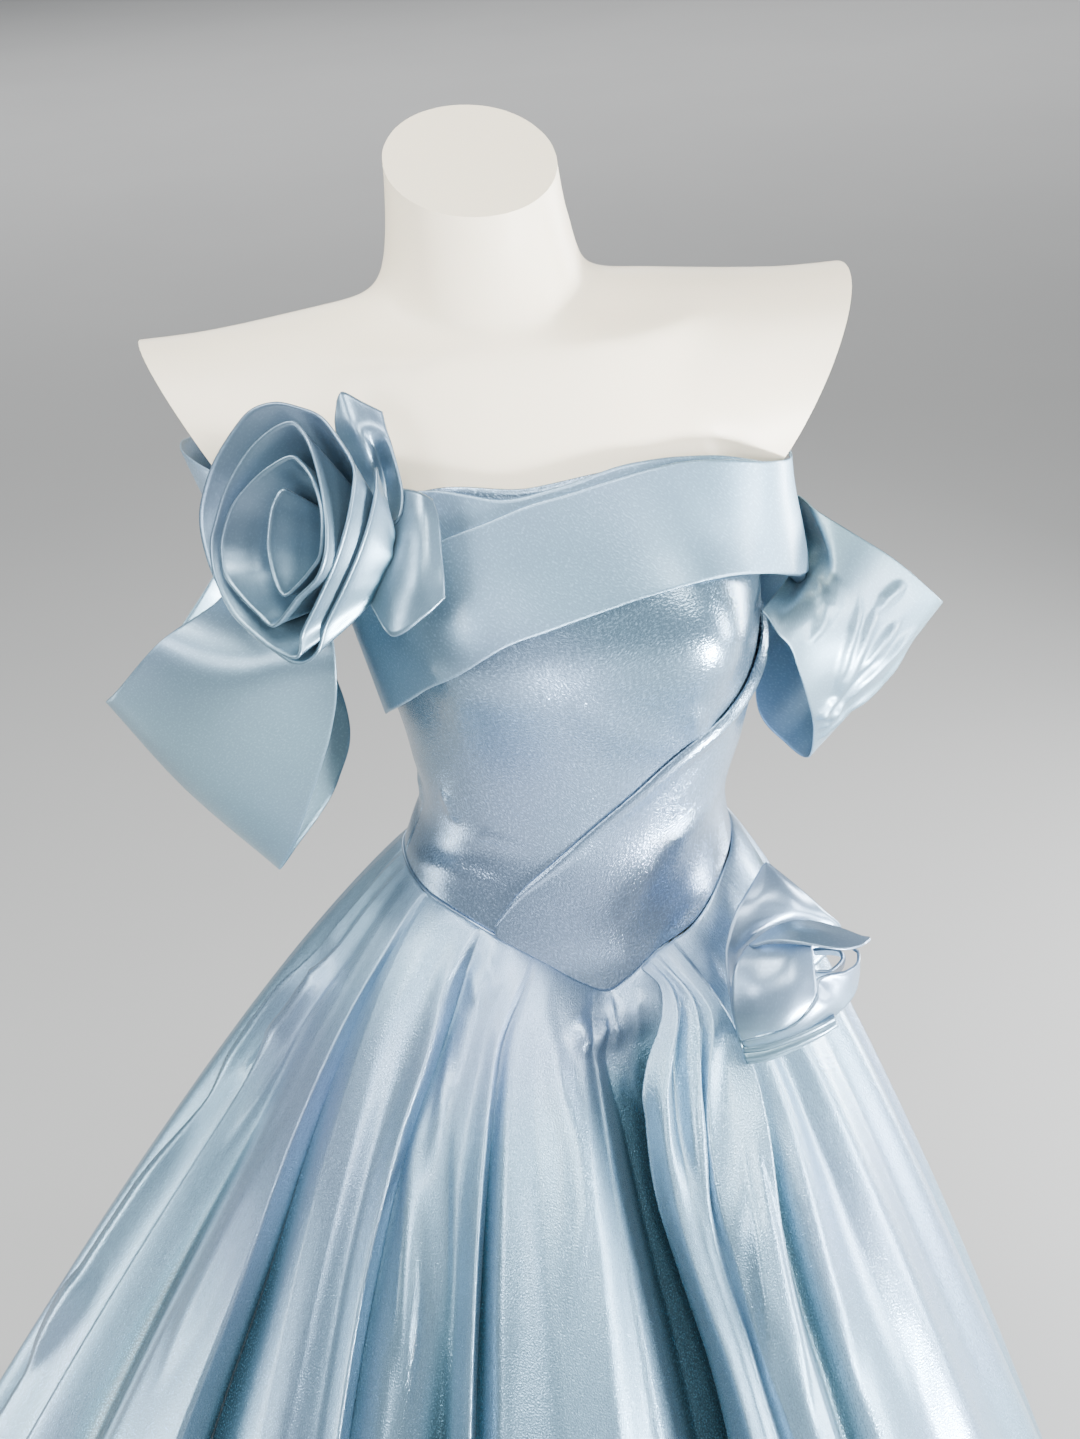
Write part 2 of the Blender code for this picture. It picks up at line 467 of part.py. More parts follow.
def apply_modifiers(thing):
    graph = bpy.context.evaluated_depsgraph_get()
    graph.update()
    shape = bpy.data.meshes.new_from_object(thing.evaluated_get(graph))
    old = thing.data
    thing.modifiers.clear()
    thing.data = shape
    bpy.data.meshes.remove(old)


def boolean(target, cutter, how):
    change = target.modifiers.new(how.lower(), "BOOLEAN")
    change.operation = how
    change.solver = "EXACT"
    change.object = cutter
    apply_modifiers(target)


def half_space(name, point, outward, reach_down, group):
    """A block that lies outward of the point, and ends a little way below it."""
    outward = Vector(outward).normalized()
    size = 0.5
    net = bmesh.new()
    bmesh.ops.create_cube(net, size=2 * size)
    mesh = bpy.data.meshes.new(name)
    net.to_mesh(mesh)
    net.free()
    block = bpy.data.objects.new(name, mesh)
    turn = outward.to_track_quat("Z", "Y").to_matrix().to_4x4()
    rise = turn.to_3x3() @ Vector((0, size - reach_down, 0))
    turn.translation = Vector(point) + outward * size + rise
    mesh.transform(turn)
    group.objects.link(block)
    block.hide_render = True
    block.display_type = "WIRE"
    return block


def build_form(group, guides):
    """The torso to the hips, two cut shoulders and a cut neck, in one smooth skin."""
    turns = np.linspace(0, 360, 72, endpoint=False)
    levels = np.linspace(FORM_BOTTOM - 0.03, 1.385, 56)
    torso = lofted("form_torso", [body(turns, z + 0 * turns, -0.004) for z in levels], "form", group)
    ring = np.radians(np.linspace(0, 360, 48, endpoint=False))
    rows = []
    for x in np.linspace(-0.25, 0.25, 40):
        height, deep, tall = [along(abs(x), SHOULDERS, k) for k in (1, 2, 3)]
        rows.append(np.stack([0 * ring + SHOULDER_CENTRE_X + x, 0.006 + deep * np.cos(ring),
                              height + tall * np.sin(ring)], -1))
    shoulders = lofted("shoulders", rows, "form", guides)
    rows = []
    for z in np.linspace(NECK[0][0], NECK[-1][0], 24):
        x, y, radius = [along(z, NECK, k) for k in (1, 2, 3)]
        rows.append(np.stack([x + radius * np.sin(ring), y - radius * np.cos(ring), 0 * ring + z], -1))
    neck = lofted("neck", rows, "form", guides)
    for extra in (shoulders, neck):
        boolean(torso, extra, "UNION")
        bpy.data.objects.remove(extra, do_unlink=True)
    blend = torso.modifiers.new("blend", "REMESH")
    blend.mode = "VOXEL"
    blend.voxel_size = 0.006
    soften = torso.modifiers.new("soften", "SMOOTH")
    soften.factor = 0.5
    soften.iterations = 22
    apply_modifiers(torso)
    keep_inside_body(torso.data)
    thin = torso.modifiers.new("thin", "DECIMATE")
    thin.ratio = FORM_FACES / max(1, 2 * len(torso.data.polygons))
    apply_modifiers(torso)
    reach = SHOULDER_CENTRE_X + SHOULDER_HALF, SHOULDER_CENTRE_X - SHOULDER_HALF
    lean = math.cos(ARM_CUT_SLOPE), -math.sin(ARM_CUT_SLOPE)
    cuts = [
        ("neck_cut", NECK_TOP, (0, -math.sin(NECK_TILT), math.cos(NECK_TILT)), 0.5),
        ("arm_cut_left", (reach[0], 0, SHOULDER_TOP), (lean[0], 0, lean[1]), ARM_CUT_LENGTH),
        ("arm_cut_right", (reach[1], 0, SHOULDER_TOP), (-lean[0], 0, lean[1]), ARM_CUT_LENGTH),
        ("hip_cut", (0, 0, FORM_BOTTOM), (0, 0, -1), 0.5),
    ]
    for name, point, outward, down in cuts:
        boolean(torso, half_space(name, point, outward, down, guides), "DIFFERENCE")
    torso.data.materials.clear()
    torso.data.materials.append(material_for("form_torso_skin", "form"))
    return torso


def fade(value, none, full):
    """0 at none, 1 at full, smooth between."""
    t = min(1.0, max(0.0, (value - none) / (full - none)))
    return t * t * (3 - 2 * t)


def keep_inside_body(mesh):
    """Pull the form's skin inside the bodice, and let it go free above the neckline."""
    for vertex in mesh.vertices:
        x, y, z = vertex.co
        middle = float(along(z, TORSO, 1))
        angle = math.degrees(math.atan2(x - middle, -y))
        top = float(along(angle, NECKLINE, 1))
        reach = body(angle, z, -FORM_EASE)
        limit = math.hypot(reach[0] - middle, reach[1])
        here = math.hypot(x - middle, y)
        if here > limit:
            pull = fade(z, top + 0.040, top + 0.004)
            scale = 1 + (limit / here - 1) * pull
            vertex.co.x = middle + (x - middle) * scale
            vertex.co.y = y * scale
    mesh.update()


def tube_of_rings(name, profile, kind, group, around=32):
    """A round solid from (radius, height) pairs."""
    ring = np.radians(np.linspace(0, 360, around, endpoint=False))
    rows = [np.stack([r * np.sin(ring), -r * np.cos(ring), 0 * ring + z], -1) for r, z in profile]
    return lofted(name, rows, kind, group)


def build_stand(group):
    """The pole under the form and the flat round base that stands on the floor."""
    lip = 0.0022
    base = [(BASE_RADIUS - lip, 0), (BASE_RADIUS, lip), (BASE_RADIUS, BASE_HEIGHT - lip),
            (BASE_RADIUS - lip, BASE_HEIGHT), (0.030, BASE_HEIGHT + 0.004),
            (0.026, BASE_HEIGHT + 0.030)]
    tube_of_rings("form_base", base, "metal", group, 32)
    pole = [(POLE_RADIUS, BASE_HEIGHT + 0.030 + SEAM_GAP), (POLE_RADIUS, FORM_BOTTOM - SEAM_GAP)]
    tube_of_rings("form_pole", pole, "metal", group, 16)


# ---------------------------------------------------------------- the bodice
def bodice_panel(name, first, last, lower, upper, out, rows, group):
    """A piece of the bodice between two angles and two edge lines."""
    angles = spread(first, last, COLUMN_STEP)
    share = np.linspace(0, 1, rows + 1)
    low = lower(angles)[:, None]
    high = upper(angles)[:, None]
    height = low + (high - low) * share
    offset = out(angles[:, None] + 0 * height, share + 0 * height)
    return cloth_wall(name, body(angles[:, None] + 0 * height, height, offset), group)


def waist(angle):
    return along(half_turn(angle), WAIST_SEAM, 1)


def build_bodice(group):
    seam = lambda angle: waist(angle) + SEAM_GAP / 2
    neckline = lambda angle: along(half_turn(angle), NECKLINE, 1)
    flat = lambda angle, share: TOP_OFFSET + 0 * angle
    bodice_panel("bodice_front", -89.9, 89.9, seam, neckline, flat, 16, group)
    bodice_panel("bodice_back_left", 90.1, 179.8, seam, neckline, flat, 11, group)
    bodice_panel("bodice_back_right", 180.2, 269.9, seam, neckline, flat, 11, group)
    edge = lambda angle: along(angle, OVERLAY_EDGE, 1)
    rolled = lambda angle, share: WRAP_OFFSET + 0.0024 * bump(share - 1, 0.16)
    bodice_panel("bodice_overlay", -36.5, 89.9, seam, edge, rolled, 9, group)


# ---------------------------------------------------------------- bands and sleeves
def band_grid(table, rows, step):
    """A shoulder band: its edges and its distance from the body come from its table."""
    angles = spread(table[0][0], table[-1][0], step)
    top, low, out_top, out_low = [along(angles, table, k)[:, None] for k in (1, 2, 3, 4)]
    share = np.linspace(0, 1, rows + 1)
    height = low + (top - low) * share
    return body(angles[:, None] + 0 * height, height, out_low + (out_top - out_low) * share)


def seam_row(band, angles):
    """Three points just under a band's lower edge, where a sleeve loop is sewn on."""
    rows = []
    for angle in angles:
        height = float(along(angle, band, 2)) - CLOTH / 2 - SEAM_GAP
        rows.append(tuple(body(angle, height, float(along(angle, band, 4)))))
    return rows


def build_bands_and_sleeves(group):
    cloth_wall("band_under", band_grid(UNDER_BAND, 3, COLUMN_STEP), group)
    cloth_wall("band_over", band_grid(OVER_BAND, 5, COLUMN_STEP), group)
    cloth_wall("band_back", band_grid(BACK_BAND, 3, COLUMN_STEP), group)
    right = [seam_row(UNDER_BAND, RIGHT_ARM_FRONT_SEAM), *RIGHT_ARM_LOOP,
             seam_row(UNDER_BAND, RIGHT_ARM_BACK_SEAM)]
    left = [*LEFT_ARM_LOOP, seam_row(BACK_BAND, LEFT_ARM_BACK_SEAM)]
    cloth_wall("sleeve_right", smooth_net(right, 24, 5), group)
    cloth_wall("sleeve_left", smooth_net(left, 27, 5), group)


# ---------------------------------------------------------------- the skirt
def fold_lines():
    """All lines of the main skirt, from the wearer's left side round the back to the front."""
    lines = []
    lines.append(OVERSKIRT_FOLDS[-1])
    for at_waist, at_hem, height in BACK_FOLDS:
        run = []
        for down, growth in BACK_GROWTH:
            turn = at_waist + (at_hem - at_waist) * down ** 0.6
            run.append((down, turn, 1 + (height - 1) * growth))
        lines.append(("back", 0, run))
    for name, pointed, run in FRONT_FOLDS:
        lines.append((name, pointed, [(down, turn + 360, height) for down, turn, height in run]))
    return lines


def skirt_surface(angle, down, height):
    """Point on the skirt at an angle and a share of the way down, raised by height."""
    top = waist(angle) - SKIRT_DROP
    start = body(angle, top, FORM_GAP)
    level = top + (HEM_HEIGHT - top) * down
    turn = np.radians(angle)
    middle = along(top, TORSO, 1)
    first = np.hypot(start[..., 0] - middle, start[..., 1])
    last = along(half_turn(angle), HEM_RADIUS, 1)
    swell = along(half_turn(angle), SKIRT_SWELL, 1)
    radius = first + (last - first) * down ** swell + height
    return np.stack([middle + radius * np.sin(turn), -radius * np.cos(turn), level], -1)


def pleated(lines, first, last, rows, between, trim=(0.0, 0.0)):
    """A skirt panel through its fold lines, with a few columns between each two lines."""
    down = np.array(rows, float)
    turns, heights, points = [], [], []
    for name, pointed, run in lines[first:last + 1]:
        turns.append(along(down, run, 1))
        heights.append(along(down, run, 2) / 1000)
        points.append(pointed)
    columns = []
    for k in range(len(turns) - 1):
        for step in range(between + (k == len(turns) - 2)):
            f = step / between
            start, end = points[k], points[k + 1]
            rise = heights[k + 1] - heights[k]
            shape = (3 * f**2 - 2 * f**3) + start * (f**3 - 2 * f**2 + f) + end * (f**3 - f**2)
            columns.append((turns[k] + (turns[k + 1] - turns[k]) * f, heights[k] + rise * shape))
    columns[0] = (columns[0][0] + trim[0], columns[0][1])
    columns[-1] = (columns[-1][0] - trim[1], columns[-1][1])
    return np.stack([skirt_surface(turn, down, height) for turn, height in columns])


def build_skirt(group):
    lines = fold_lines()
    count = len(BACK_FOLDS) + 1
    sew = 0.12
    panels = [
        ("skirt_back_left", 0, CENTRE_BACK, (0.3, sew)),
        ("skirt_back_right", CENTRE_BACK, count, (sew, 0.05)),
        ("skirt_front", count, len(lines) - 1, (0.2, 0.0)),
    ]
    for name, first, last, trim in panels:
        cloth_wall(name, pleated(lines, first, last, SKIRT_ROWS, 2, trim), group)
    over = pleated(OVERSKIRT_FOLDS, 0, len(OVERSKIRT_FOLDS) - 1, OVERSKIRT_ROWS, 2, (0, 0.1))
    cloth_wall("skirt_over", over, group)


# ---------------------------------------------------------------- flowers
def rose_grid(spec, columns_per_turn, rows):
    """One long folded strip wound in a spiral, narrow at the base and open at the rim."""
    middle, facing, half_wide, half_tall, deep, turns = spec
    facing = np.array(facing) / np.linalg.norm(facing)
    up = np.array((0.0, 0.0, 1.0)) - facing * facing[2]
    up /= np.linalg.norm(up)
    across = np.cross(up, facing)
    turn = np.linspace(0, turns * 2 * np.pi, int(turns * columns_per_turn) + 1)
    way = turn / turn[-1]
    share = np.linspace(0, 1, rows + 1)
    size = (0.16 + 0.84 * way**0.85)[:, None]
    open_ = 0.34 + 0.66 * share[None, :] ** 0.8
    lift = deep * (share[None, :] - 1) + 0.010 * (way[:, None] - 1) * -share[None, :]
    lift = lift - 0.012 * share[None, :] * bump(way[:, None] - 1, 0.25)
    bend = 1 + 0.07 * np.cos(3 * turn + 0.6)[:, None]
    a = half_wide * size * open_ * bend * np.cos(turn)[:, None]
    b = half_tall * size * open_ * bend * np.sin(turn)[:, None]
    return (np.array(middle) + a[..., None] * across + b[..., None] * up
            + lift[..., None] * facing)


def build_flowers(group):
    cloth_wall("rose_shoulder", rose_grid(SHOULDER_ROSE, 13, 3), group)
    cloth_wall("rose_hip", rose_grid(HIP_ROSE, 12, 3), group)
    for name, net in PETALS.items():
        rows = 3 * (len(net) - 1)
        cloth_wall(name, smooth_net(net, rows, 5), group)


def main():
    clear_scene()
    gown = collection_named("ball_gown_on_dress_form")
    guides = collection_named("guides")
    build_form(gown, guides)
    build_stand(gown)
    build_bodice(gown)
    build_bands_and_sleeves(gown)
    build_skirt(gown)
    build_flowers(gown)


main()
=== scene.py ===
# %% [markdown]
# # A ball gown in shot organza satin, standing on a dress form
#
# The gown has a tight boned bodice with a long point, three shoulder bands, two open sleeve
# loops, two folded cloth flowers and a floor-length skirt with an overskirt at one side. It is
# cut from one pale blue cloth: a thin, springy organza with a satin face. Such cloth holds
# sharp folds, so its edges catch the light as thin bright lines, and the hollows between the
# folds lie in deeper shade than the crests.
#
# The lesson builds every piece of cloth as a sheet of points, bends the sheet into its folds,
# and closes it into a thin wall. Shapes are worked out from a body outline and short tables of
# folds, so a fold can be moved by changing one row.

# %% The tools and the frame
import json
import math

import bmesh
import bpy
import numpy as np
from mathutils import Matrix, Vector

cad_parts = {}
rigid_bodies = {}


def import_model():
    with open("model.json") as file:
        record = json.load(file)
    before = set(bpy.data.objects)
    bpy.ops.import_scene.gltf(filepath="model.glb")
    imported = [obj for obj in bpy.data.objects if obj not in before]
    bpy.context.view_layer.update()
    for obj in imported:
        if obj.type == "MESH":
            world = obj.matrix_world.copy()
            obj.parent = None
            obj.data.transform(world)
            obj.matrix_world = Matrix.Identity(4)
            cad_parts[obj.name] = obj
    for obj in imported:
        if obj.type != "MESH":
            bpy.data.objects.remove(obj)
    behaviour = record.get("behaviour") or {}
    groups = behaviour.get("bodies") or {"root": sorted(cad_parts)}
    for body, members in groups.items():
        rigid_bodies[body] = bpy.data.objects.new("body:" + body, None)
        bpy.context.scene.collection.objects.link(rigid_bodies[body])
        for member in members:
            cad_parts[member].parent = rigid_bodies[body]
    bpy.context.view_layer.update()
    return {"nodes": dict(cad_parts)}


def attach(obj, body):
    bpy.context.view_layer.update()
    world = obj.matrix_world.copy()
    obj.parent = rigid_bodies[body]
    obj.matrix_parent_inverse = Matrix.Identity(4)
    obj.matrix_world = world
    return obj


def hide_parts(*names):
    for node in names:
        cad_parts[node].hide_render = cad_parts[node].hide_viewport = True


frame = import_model()
print("CAD nodes:", len(frame["nodes"]))

# %% [markdown]
# ## Sizes that all of the cloth shares
#
# Metres, +Z up, the floor at Z = 0, the wearer facing -Y. Angles are degrees round the body:
# 0 at the front and +90 at the wearer's left. The cloth's wall and the gaps between layers are
# those of the solid model, so each dressed sheet lies on its own solid. A size that one piece
# alone needs stands beside that piece.

# %% Walls and gaps
CLOTH = 0.0012
FORM_GAP = 0.0006
SEAM_GAP = 0.0003
LAYER = 0.0020
TOP_OFFSET = FORM_GAP + CLOTH / 2
print(f"cloth {CLOTH * 1000:.1f} mm thick, its middle {TOP_OFFSET * 1000:.1f} mm off the form")

# %% [markdown]
# ## The wearer's outline
#
# A dressmaker's block is the shape that every upper piece is cut to. It could be sculpted as
# one mesh, but the bodice, bands and sleeves each follow it at a distance of their own. So the
# block is a table of sections, `along` reads a column of it as a smooth curve, and `body` turns
# an angle and a height into a point on it. Two soft swellings make the bust, and a third one
# lets the cloth bridge the hollow between them.

# %% Reading a table as a curve
def along(where, rows, column):
    """Read one column of a table smoothly at the places asked for."""
    knots = np.array([row[0] for row in rows], float)
    values = np.array([row[column] for row in rows], float)
    step = np.diff(knots)
    chord = np.diff(values) / step
    slope = np.empty(len(knots))
    slope[0], slope[-1] = chord[0], chord[-1]
    left, right = step[:-1], step[1:]
    slope[1:-1] = (chord[:-1] * right + chord[1:] * left) / (left + right)
    x = np.clip(np.asarray(where, float), knots[0], knots[-1])
    i = np.clip(np.searchsorted(knots, x) - 1, 0, len(step) - 1)
    t = (x - knots[i]) / step[i]
    return ((2 * t**3 - 3 * t**2 + 1) * values[i] + (t**3 - 2 * t**2 + t) * step[i] * slope[i]
            + (3 * t**2 - 2 * t**3) * values[i + 1] + (t**3 - t**2) * step[i] * slope[i + 1])


def bump(distance, width):
    return np.exp(-(distance / width) ** 2)


def ease(value, none, full):
    """0 at none, 1 at full, smooth between."""
    t = np.clip((value - none) / (full - none), 0, 1)
    return t * t * (3 - 2 * t)


def half_turn(angle):
    """Bring an angle into -180 to 180 degrees."""
    return (np.asarray(angle, float) + 180) % 360 - 180

print("halfway up a smooth step:", float(ease(0.5, 0, 1)))

# %% The body
# The body, by height: middle in X, half width, depth to the front and to the back.
TORSO = [
    (0.86, -0.002, 0.1500, 0.100, 0.120),
    (0.93, -0.002, 0.1380, 0.100, 0.108),
    (1.00, -0.008, 0.1130, 0.096, 0.088),
    (1.03, -0.008, 0.1060, 0.091, 0.082),
    (1.06, -0.003, 0.0980, 0.088, 0.078),
    (1.11, 0.002, 0.1065, 0.094, 0.085),
    (1.16, 0.002, 0.1170, 0.102, 0.094),
    (1.21, -0.002, 0.1245, 0.108, 0.100),
    (1.27, -0.012, 0.1260, 0.100, 0.102),
    (1.33, -0.019, 0.1300, 0.084, 0.098),
    (1.39, -0.026, 0.1300, 0.070, 0.085),
]
SQUARENESS = 2.3          # 2 is an ellipse, more is squarer
BUST_OUT = 0.020
BUST_ANGLE = 33
BUST_WIDE = 19
BUST_HEIGHT = 1.205
BUST_TALL = 0.054
BRIDGE_OUT = 0.006
BRIDGE_WIDE = 22
BRIDGE_HEIGHT = 1.200
BRIDGE_TALL = 0.050
WAIST_HEIGHT = 1.03


def body(angle, height, out=0.0):
    """Point on the body's outline, moved outward by out."""
    angle = half_turn(angle)
    height = np.asarray(height, float)
    middle, wide, front, back = [along(height, TORSO, k) for k in (1, 2, 3, 4)]
    turn = np.radians(angle)
    side, ahead = np.sin(turn), np.cos(turn)
    deep = np.where(ahead > 0, front, back)
    radius = (np.abs(side) / wide) ** SQUARENESS + (np.abs(ahead) / deep) ** SQUARENESS
    radius = radius ** (-1 / SQUARENESS)
    cups = bump(angle - BUST_ANGLE, BUST_WIDE) + bump(angle + BUST_ANGLE, BUST_WIDE)
    radius = radius + BUST_OUT * bump(height - BUST_HEIGHT, BUST_TALL) * cups
    bridge = BRIDGE_OUT * bump(angle, BRIDGE_WIDE) * bump(height - BRIDGE_HEIGHT, BRIDGE_TALL)
    radius = radius + bridge + out
    return np.stack([middle + radius * side, -radius * ahead, height + 0 * radius], -1)


waist_ring = body(np.linspace(0, 360, 361), WAIST_HEIGHT)
print(f"girth at the waist seam {np.linalg.norm(np.diff(waist_ring, axis=0), axis=1).sum():.3f} m")

# %% [markdown]
# ## Sheets of points
#
# Cloth is a surface with two directions, across and down, so a sheet here is a grid of points
# with rows and columns. A subdivided cage would also bend smoothly, but it pulls away from the
# points that it is given. `smooth_net` passes through every point of a coarse net, such as the
# three edges of a sleeve, and the other helpers measure a sheet along and across its threads.

# %% Nets, normals and lengths
def smooth_net(net, rows, columns):
    """Resample a coarse net of points into rows by columns."""
    net = np.array(net, float)
    for axis, count in ((0, rows), (1, columns)):
        net = np.moveaxis(net, axis, 0)
        table = [(k, *np.ravel(line)) for k, line in enumerate(net)]
        where = np.linspace(0, len(net) - 1, count + 1)
        width = net[0].size
        fine = np.stack([along(where, table, 1 + c) for c in range(width)], -1)
        net = np.moveaxis(fine.reshape((count + 1,) + net.shape[1:]), 0, axis)
    return net


def unit(vectors):
    return vectors / np.maximum(np.linalg.norm(vectors, axis=-1, keepdims=True), 1e-9)


def sheet_normals(grid):
    """One normal for each point of a sheet."""
    return unit(np.cross(np.gradient(grid, axis=0), np.gradient(grid, axis=1)))


def run_lengths(grid, axis):
    """How far each point lies along its own line of the sheet, in metres."""
    steps = np.linalg.norm(np.diff(grid, axis=axis), axis=-1)
    first = np.zeros_like(np.take(steps, [0], axis=axis))
    return np.concatenate([first, np.cumsum(steps, axis=axis)], axis=axis)


def sheet_area(grid):
    one = np.cross(grid[1:, :-1] - grid[:-1, :-1], grid[:-1, 1:] - grid[:-1, :-1])
    two = np.cross(grid[:-1, 1:] - grid[1:, 1:], grid[1:, :-1] - grid[1:, 1:])
    return float((np.linalg.norm(one, axis=-1) + np.linalg.norm(two, axis=-1)).sum() / 2)


def raise_by(grid, amount):
    """Move a sheet's points along their normals."""
    return grid + sheet_normals(grid) * np.asarray(amount)[..., None]


square = smooth_net([[(0, 0, 0), (1, 0, 0)], [(0, 1, 0), (1, 1, 0)]], 4, 4)
print("a one-metre square of cloth measures", round(sheet_area(square), 6), "m2")

# %% [markdown]
# ## From a sheet of points to a wall of cloth
#
# A cut edge of satin is never left raw on a gown: it is folded in and pressed. Blender's
# Solidify modifier would give a wall with square edges. `cloth` closes a sheet itself, and one
# extra line of points rounds its rim, so the edge shows the soft bright line of a fold. It also
# stores two things that the finish reads later: how the threads run over the piece, as a UV map
# in metres, and a painted shade for each point, darkest deep in a fold or a flower.

# %% The wall of a sheet
gown = bpy.data.collections.new("dressed_gown")
bpy.context.scene.collection.children.link(gown)


def mesh_from(name, points, faces):
    mesh = bpy.data.meshes.new(name)
    mesh.from_pydata(points.tolist(), [], faces)
    mesh.polygons.foreach_set("use_smooth", [True] * len(mesh.polygons))
    made = bpy.data.objects.new(name, mesh)
    gown.objects.link(made)
    return made


def rim_of(rows, columns):
    ring = [(r, 0) for r in range(rows)] + [(rows - 1, c) for c in range(1, columns)]
    ring += [(r, columns - 1) for r in range(rows - 2, -1, -1)]
    return ring + [(0, c) for c in range(columns - 2, 0, -1)]


def wall_of(grid, rim, thick):
    """Points and faces of the wall round a sheet whose border points are listed in rim."""
    rows, columns = grid.shape[:2]
    normal = sheet_normals(grid)
    inward = np.clip(rim, [1, 1], [rows - 2, columns - 2])
    border = grid[rim[:, 0], rim[:, 1]]
    outward = unit(border - grid[inward[:, 0], inward[:, 1]])
    points = np.concatenate([(grid + normal * thick / 2).reshape(-1, 3),
                             (grid - normal * thick / 2).reshape(-1, 3),
                             border + outward * thick * 0.5])
    flat = rows * columns
    index = np.arange(flat).reshape(rows, columns)
    quads = np.stack([index[:-1, :-1], index[1:, :-1], index[1:, 1:], index[:-1, 1:]], -1)
    quads = quads.reshape(-1, 4)
    here = rim[:, 0] * columns + rim[:, 1]
    there = np.roll(here, -1)
    middle = 2 * flat + np.arange(len(rim))
    after = np.roll(middle, -1)
    rims = np.concatenate([np.stack([here, there, after, middle], -1),
                           np.stack([middle, after, there + flat, here + flat], -1)])
    return points, np.concatenate([quads, quads[:, ::-1] + flat, rims[:, ::-1]])


print("border points of a 3 by 4 sheet:", len(rim_of(3, 4)))


def cloth(name, grid, painted_shade=None, thick=CLOTH):
    """Close a sheet of points into a wall of cloth with a rounded, folded rim."""
    rim = np.array(rim_of(*grid.shape[:2]))
    points, faces = wall_of(grid, rim, thick)
    made = mesh_from(name, points, faces.tolist())

    def on_wall(layer):
        return np.concatenate([layer.ravel(), layer.ravel(), layer[rim[:, 0], rim[:, 1]]])

    across, down = run_lengths(grid, 0), run_lengths(grid, 1)
    # The painted shade of each point: 0 where none is asked for, up to 1 deep in a fold or at a flower's
    # base.
    painted_shade = 0 * across if painted_shade is None else painted_shade
    fold_shade = made.data.attributes.new("painted_shade", "FLOAT", "POINT")
    fold_shade.data.foreach_set("value", on_wall(painted_shade).astype(np.float32))
    widest = int(across[-1].argmax())
    thread = across[:, widest:widest + 1] + 0 * across
    threads = np.stack([on_wall(thread), on_wall(down)], -1)
    where = np.empty(len(made.data.loops), np.int32)
    made.data.loops.foreach_get("vertex_index", where)
    uv = made.data.uv_layers.new(name="threads")
    uv.data.foreach_set("uv", threads[where].astype(np.float32).ravel())
    sheet_area(grid)
    return made


# %% [markdown]
# ## The dress form
#
# A limbless display form of this kind is a hollow moulded shell with flat cuts at the neck and
# the shoulders, under a smooth, faintly satin coat. Sculpting it would hide its sizes in a
# mesh. Here three simple solids, a torso, a pair of shoulders and a neck, are each made from a
# table, joined, remeshed into one skin and smoothed until they flow together. The cuts come
# last, so that they stay flat and crisp.

# %% Closed solids
def lofted(name, rings):
    """Join closed rings of points into one capped solid."""
    rings = np.array(rings, float)
    count, around = rings.shape[:2]
    faces = []
    for r in range(count - 1):
        for c in range(around):
            d = (c + 1) % around
            a, b = r * around, (r + 1) * around
            faces.append([a + c, a + d, b + d, b + c])
    faces.append(list(range(around))[::-1])
    faces.append([(count - 1) * around + c for c in range(around)])
    return mesh_from(name, rings.reshape(-1, 3), faces)


def apply_modifiers(thing):
    graph = bpy.context.evaluated_depsgraph_get()
    graph.update()
    shape = bpy.data.meshes.new_from_object(thing.evaluated_get(graph))
    thing.modifiers.clear()
    thing.data = shape


def boolean(target, other, how):
    change = target.modifiers.new(how.lower(), "BOOLEAN")
    change.operation = how
    change.solver = "EXACT"
    change.object = other
    apply_modifiers(target)
    bpy.data.objects.remove(other, do_unlink=True)


def outward_faces(thing):
    net = bmesh.new()
    net.from_mesh(thing.data)
    bmesh.ops.recalc_face_normals(net, faces=net.faces)
    net.to_mesh(thing.data)
    net.free()


# %% Torso, shoulders and neck
FORM_BOTTOM = 0.86
BELOW_CUT = 0.03          # the torso starts this far below its lower cut
TORSO_TOP = 1.385
TORSO_INSET = 0.004
SHOULDER_CENTRE_X = -0.0255
SHOULDER_CENTRE_Y = 0.006
SHOULDER_REACH = 0.25
# The shoulders, by distance from their middle: height of the axis, half depth, half height.
SHOULDERS = [
    (0.00, 1.310, 0.080, 0.098),
    (0.10, 1.315, 0.071, 0.085),
    (0.16, 1.324, 0.059, 0.069),
    (0.25, 1.334, 0.051, 0.058),
]
# The neck, by height: middle in X and Y, radius.
NECK = [
    (1.34, -0.030, 0.018, 0.082),
    (1.39, -0.033, 0.010, 0.066),
    (1.43, -0.036, 0.000, 0.056),
    (1.48, -0.040, -0.014, 0.050),
    (1.54, -0.045, -0.026, 0.050),
]
round_torso = np.linspace(0, 360, 96, endpoint=False)
round_limb = np.radians(np.linspace(0, 360, 64, endpoint=False))


def torso_rings():
    levels = np.linspace(FORM_BOTTOM - BELOW_CUT, TORSO_TOP, 80)
    return [body(round_torso, z + 0 * round_torso, -TORSO_INSET) for z in levels]


def shoulder_rings():
    rings = []
    for x in np.linspace(-SHOULDER_REACH, SHOULDER_REACH, 60):
        height, deep, tall = [along(abs(x), SHOULDERS, k) for k in (1, 2, 3)]
        rings.append(np.stack([0 * round_limb + SHOULDER_CENTRE_X + x,
                               SHOULDER_CENTRE_Y + deep * np.cos(round_limb),
                               height + tall * np.sin(round_limb)], -1))
    return rings


def neck_rings():
    rings = []
    for z in np.linspace(NECK[0][0], NECK[-1][0], 40):
        x, y, radius = [along(z, NECK, k) for k in (1, 2, 3)]
        rings.append(np.stack([x + radius * np.sin(round_limb), y - radius * np.cos(round_limb),
                               0 * round_limb + z], -1))
    return rings


form_skin = lofted("form_skin", torso_rings())
shoulders = lofted("shoulders", shoulder_rings())
neck = lofted("neck", neck_rings())
for piece in (form_skin, shoulders, neck):
    outward_faces(piece)
boolean(form_skin, shoulders, "UNION")
boolean(form_skin, neck, "UNION")
print("joined form:", len(form_skin.data.polygons), "faces")

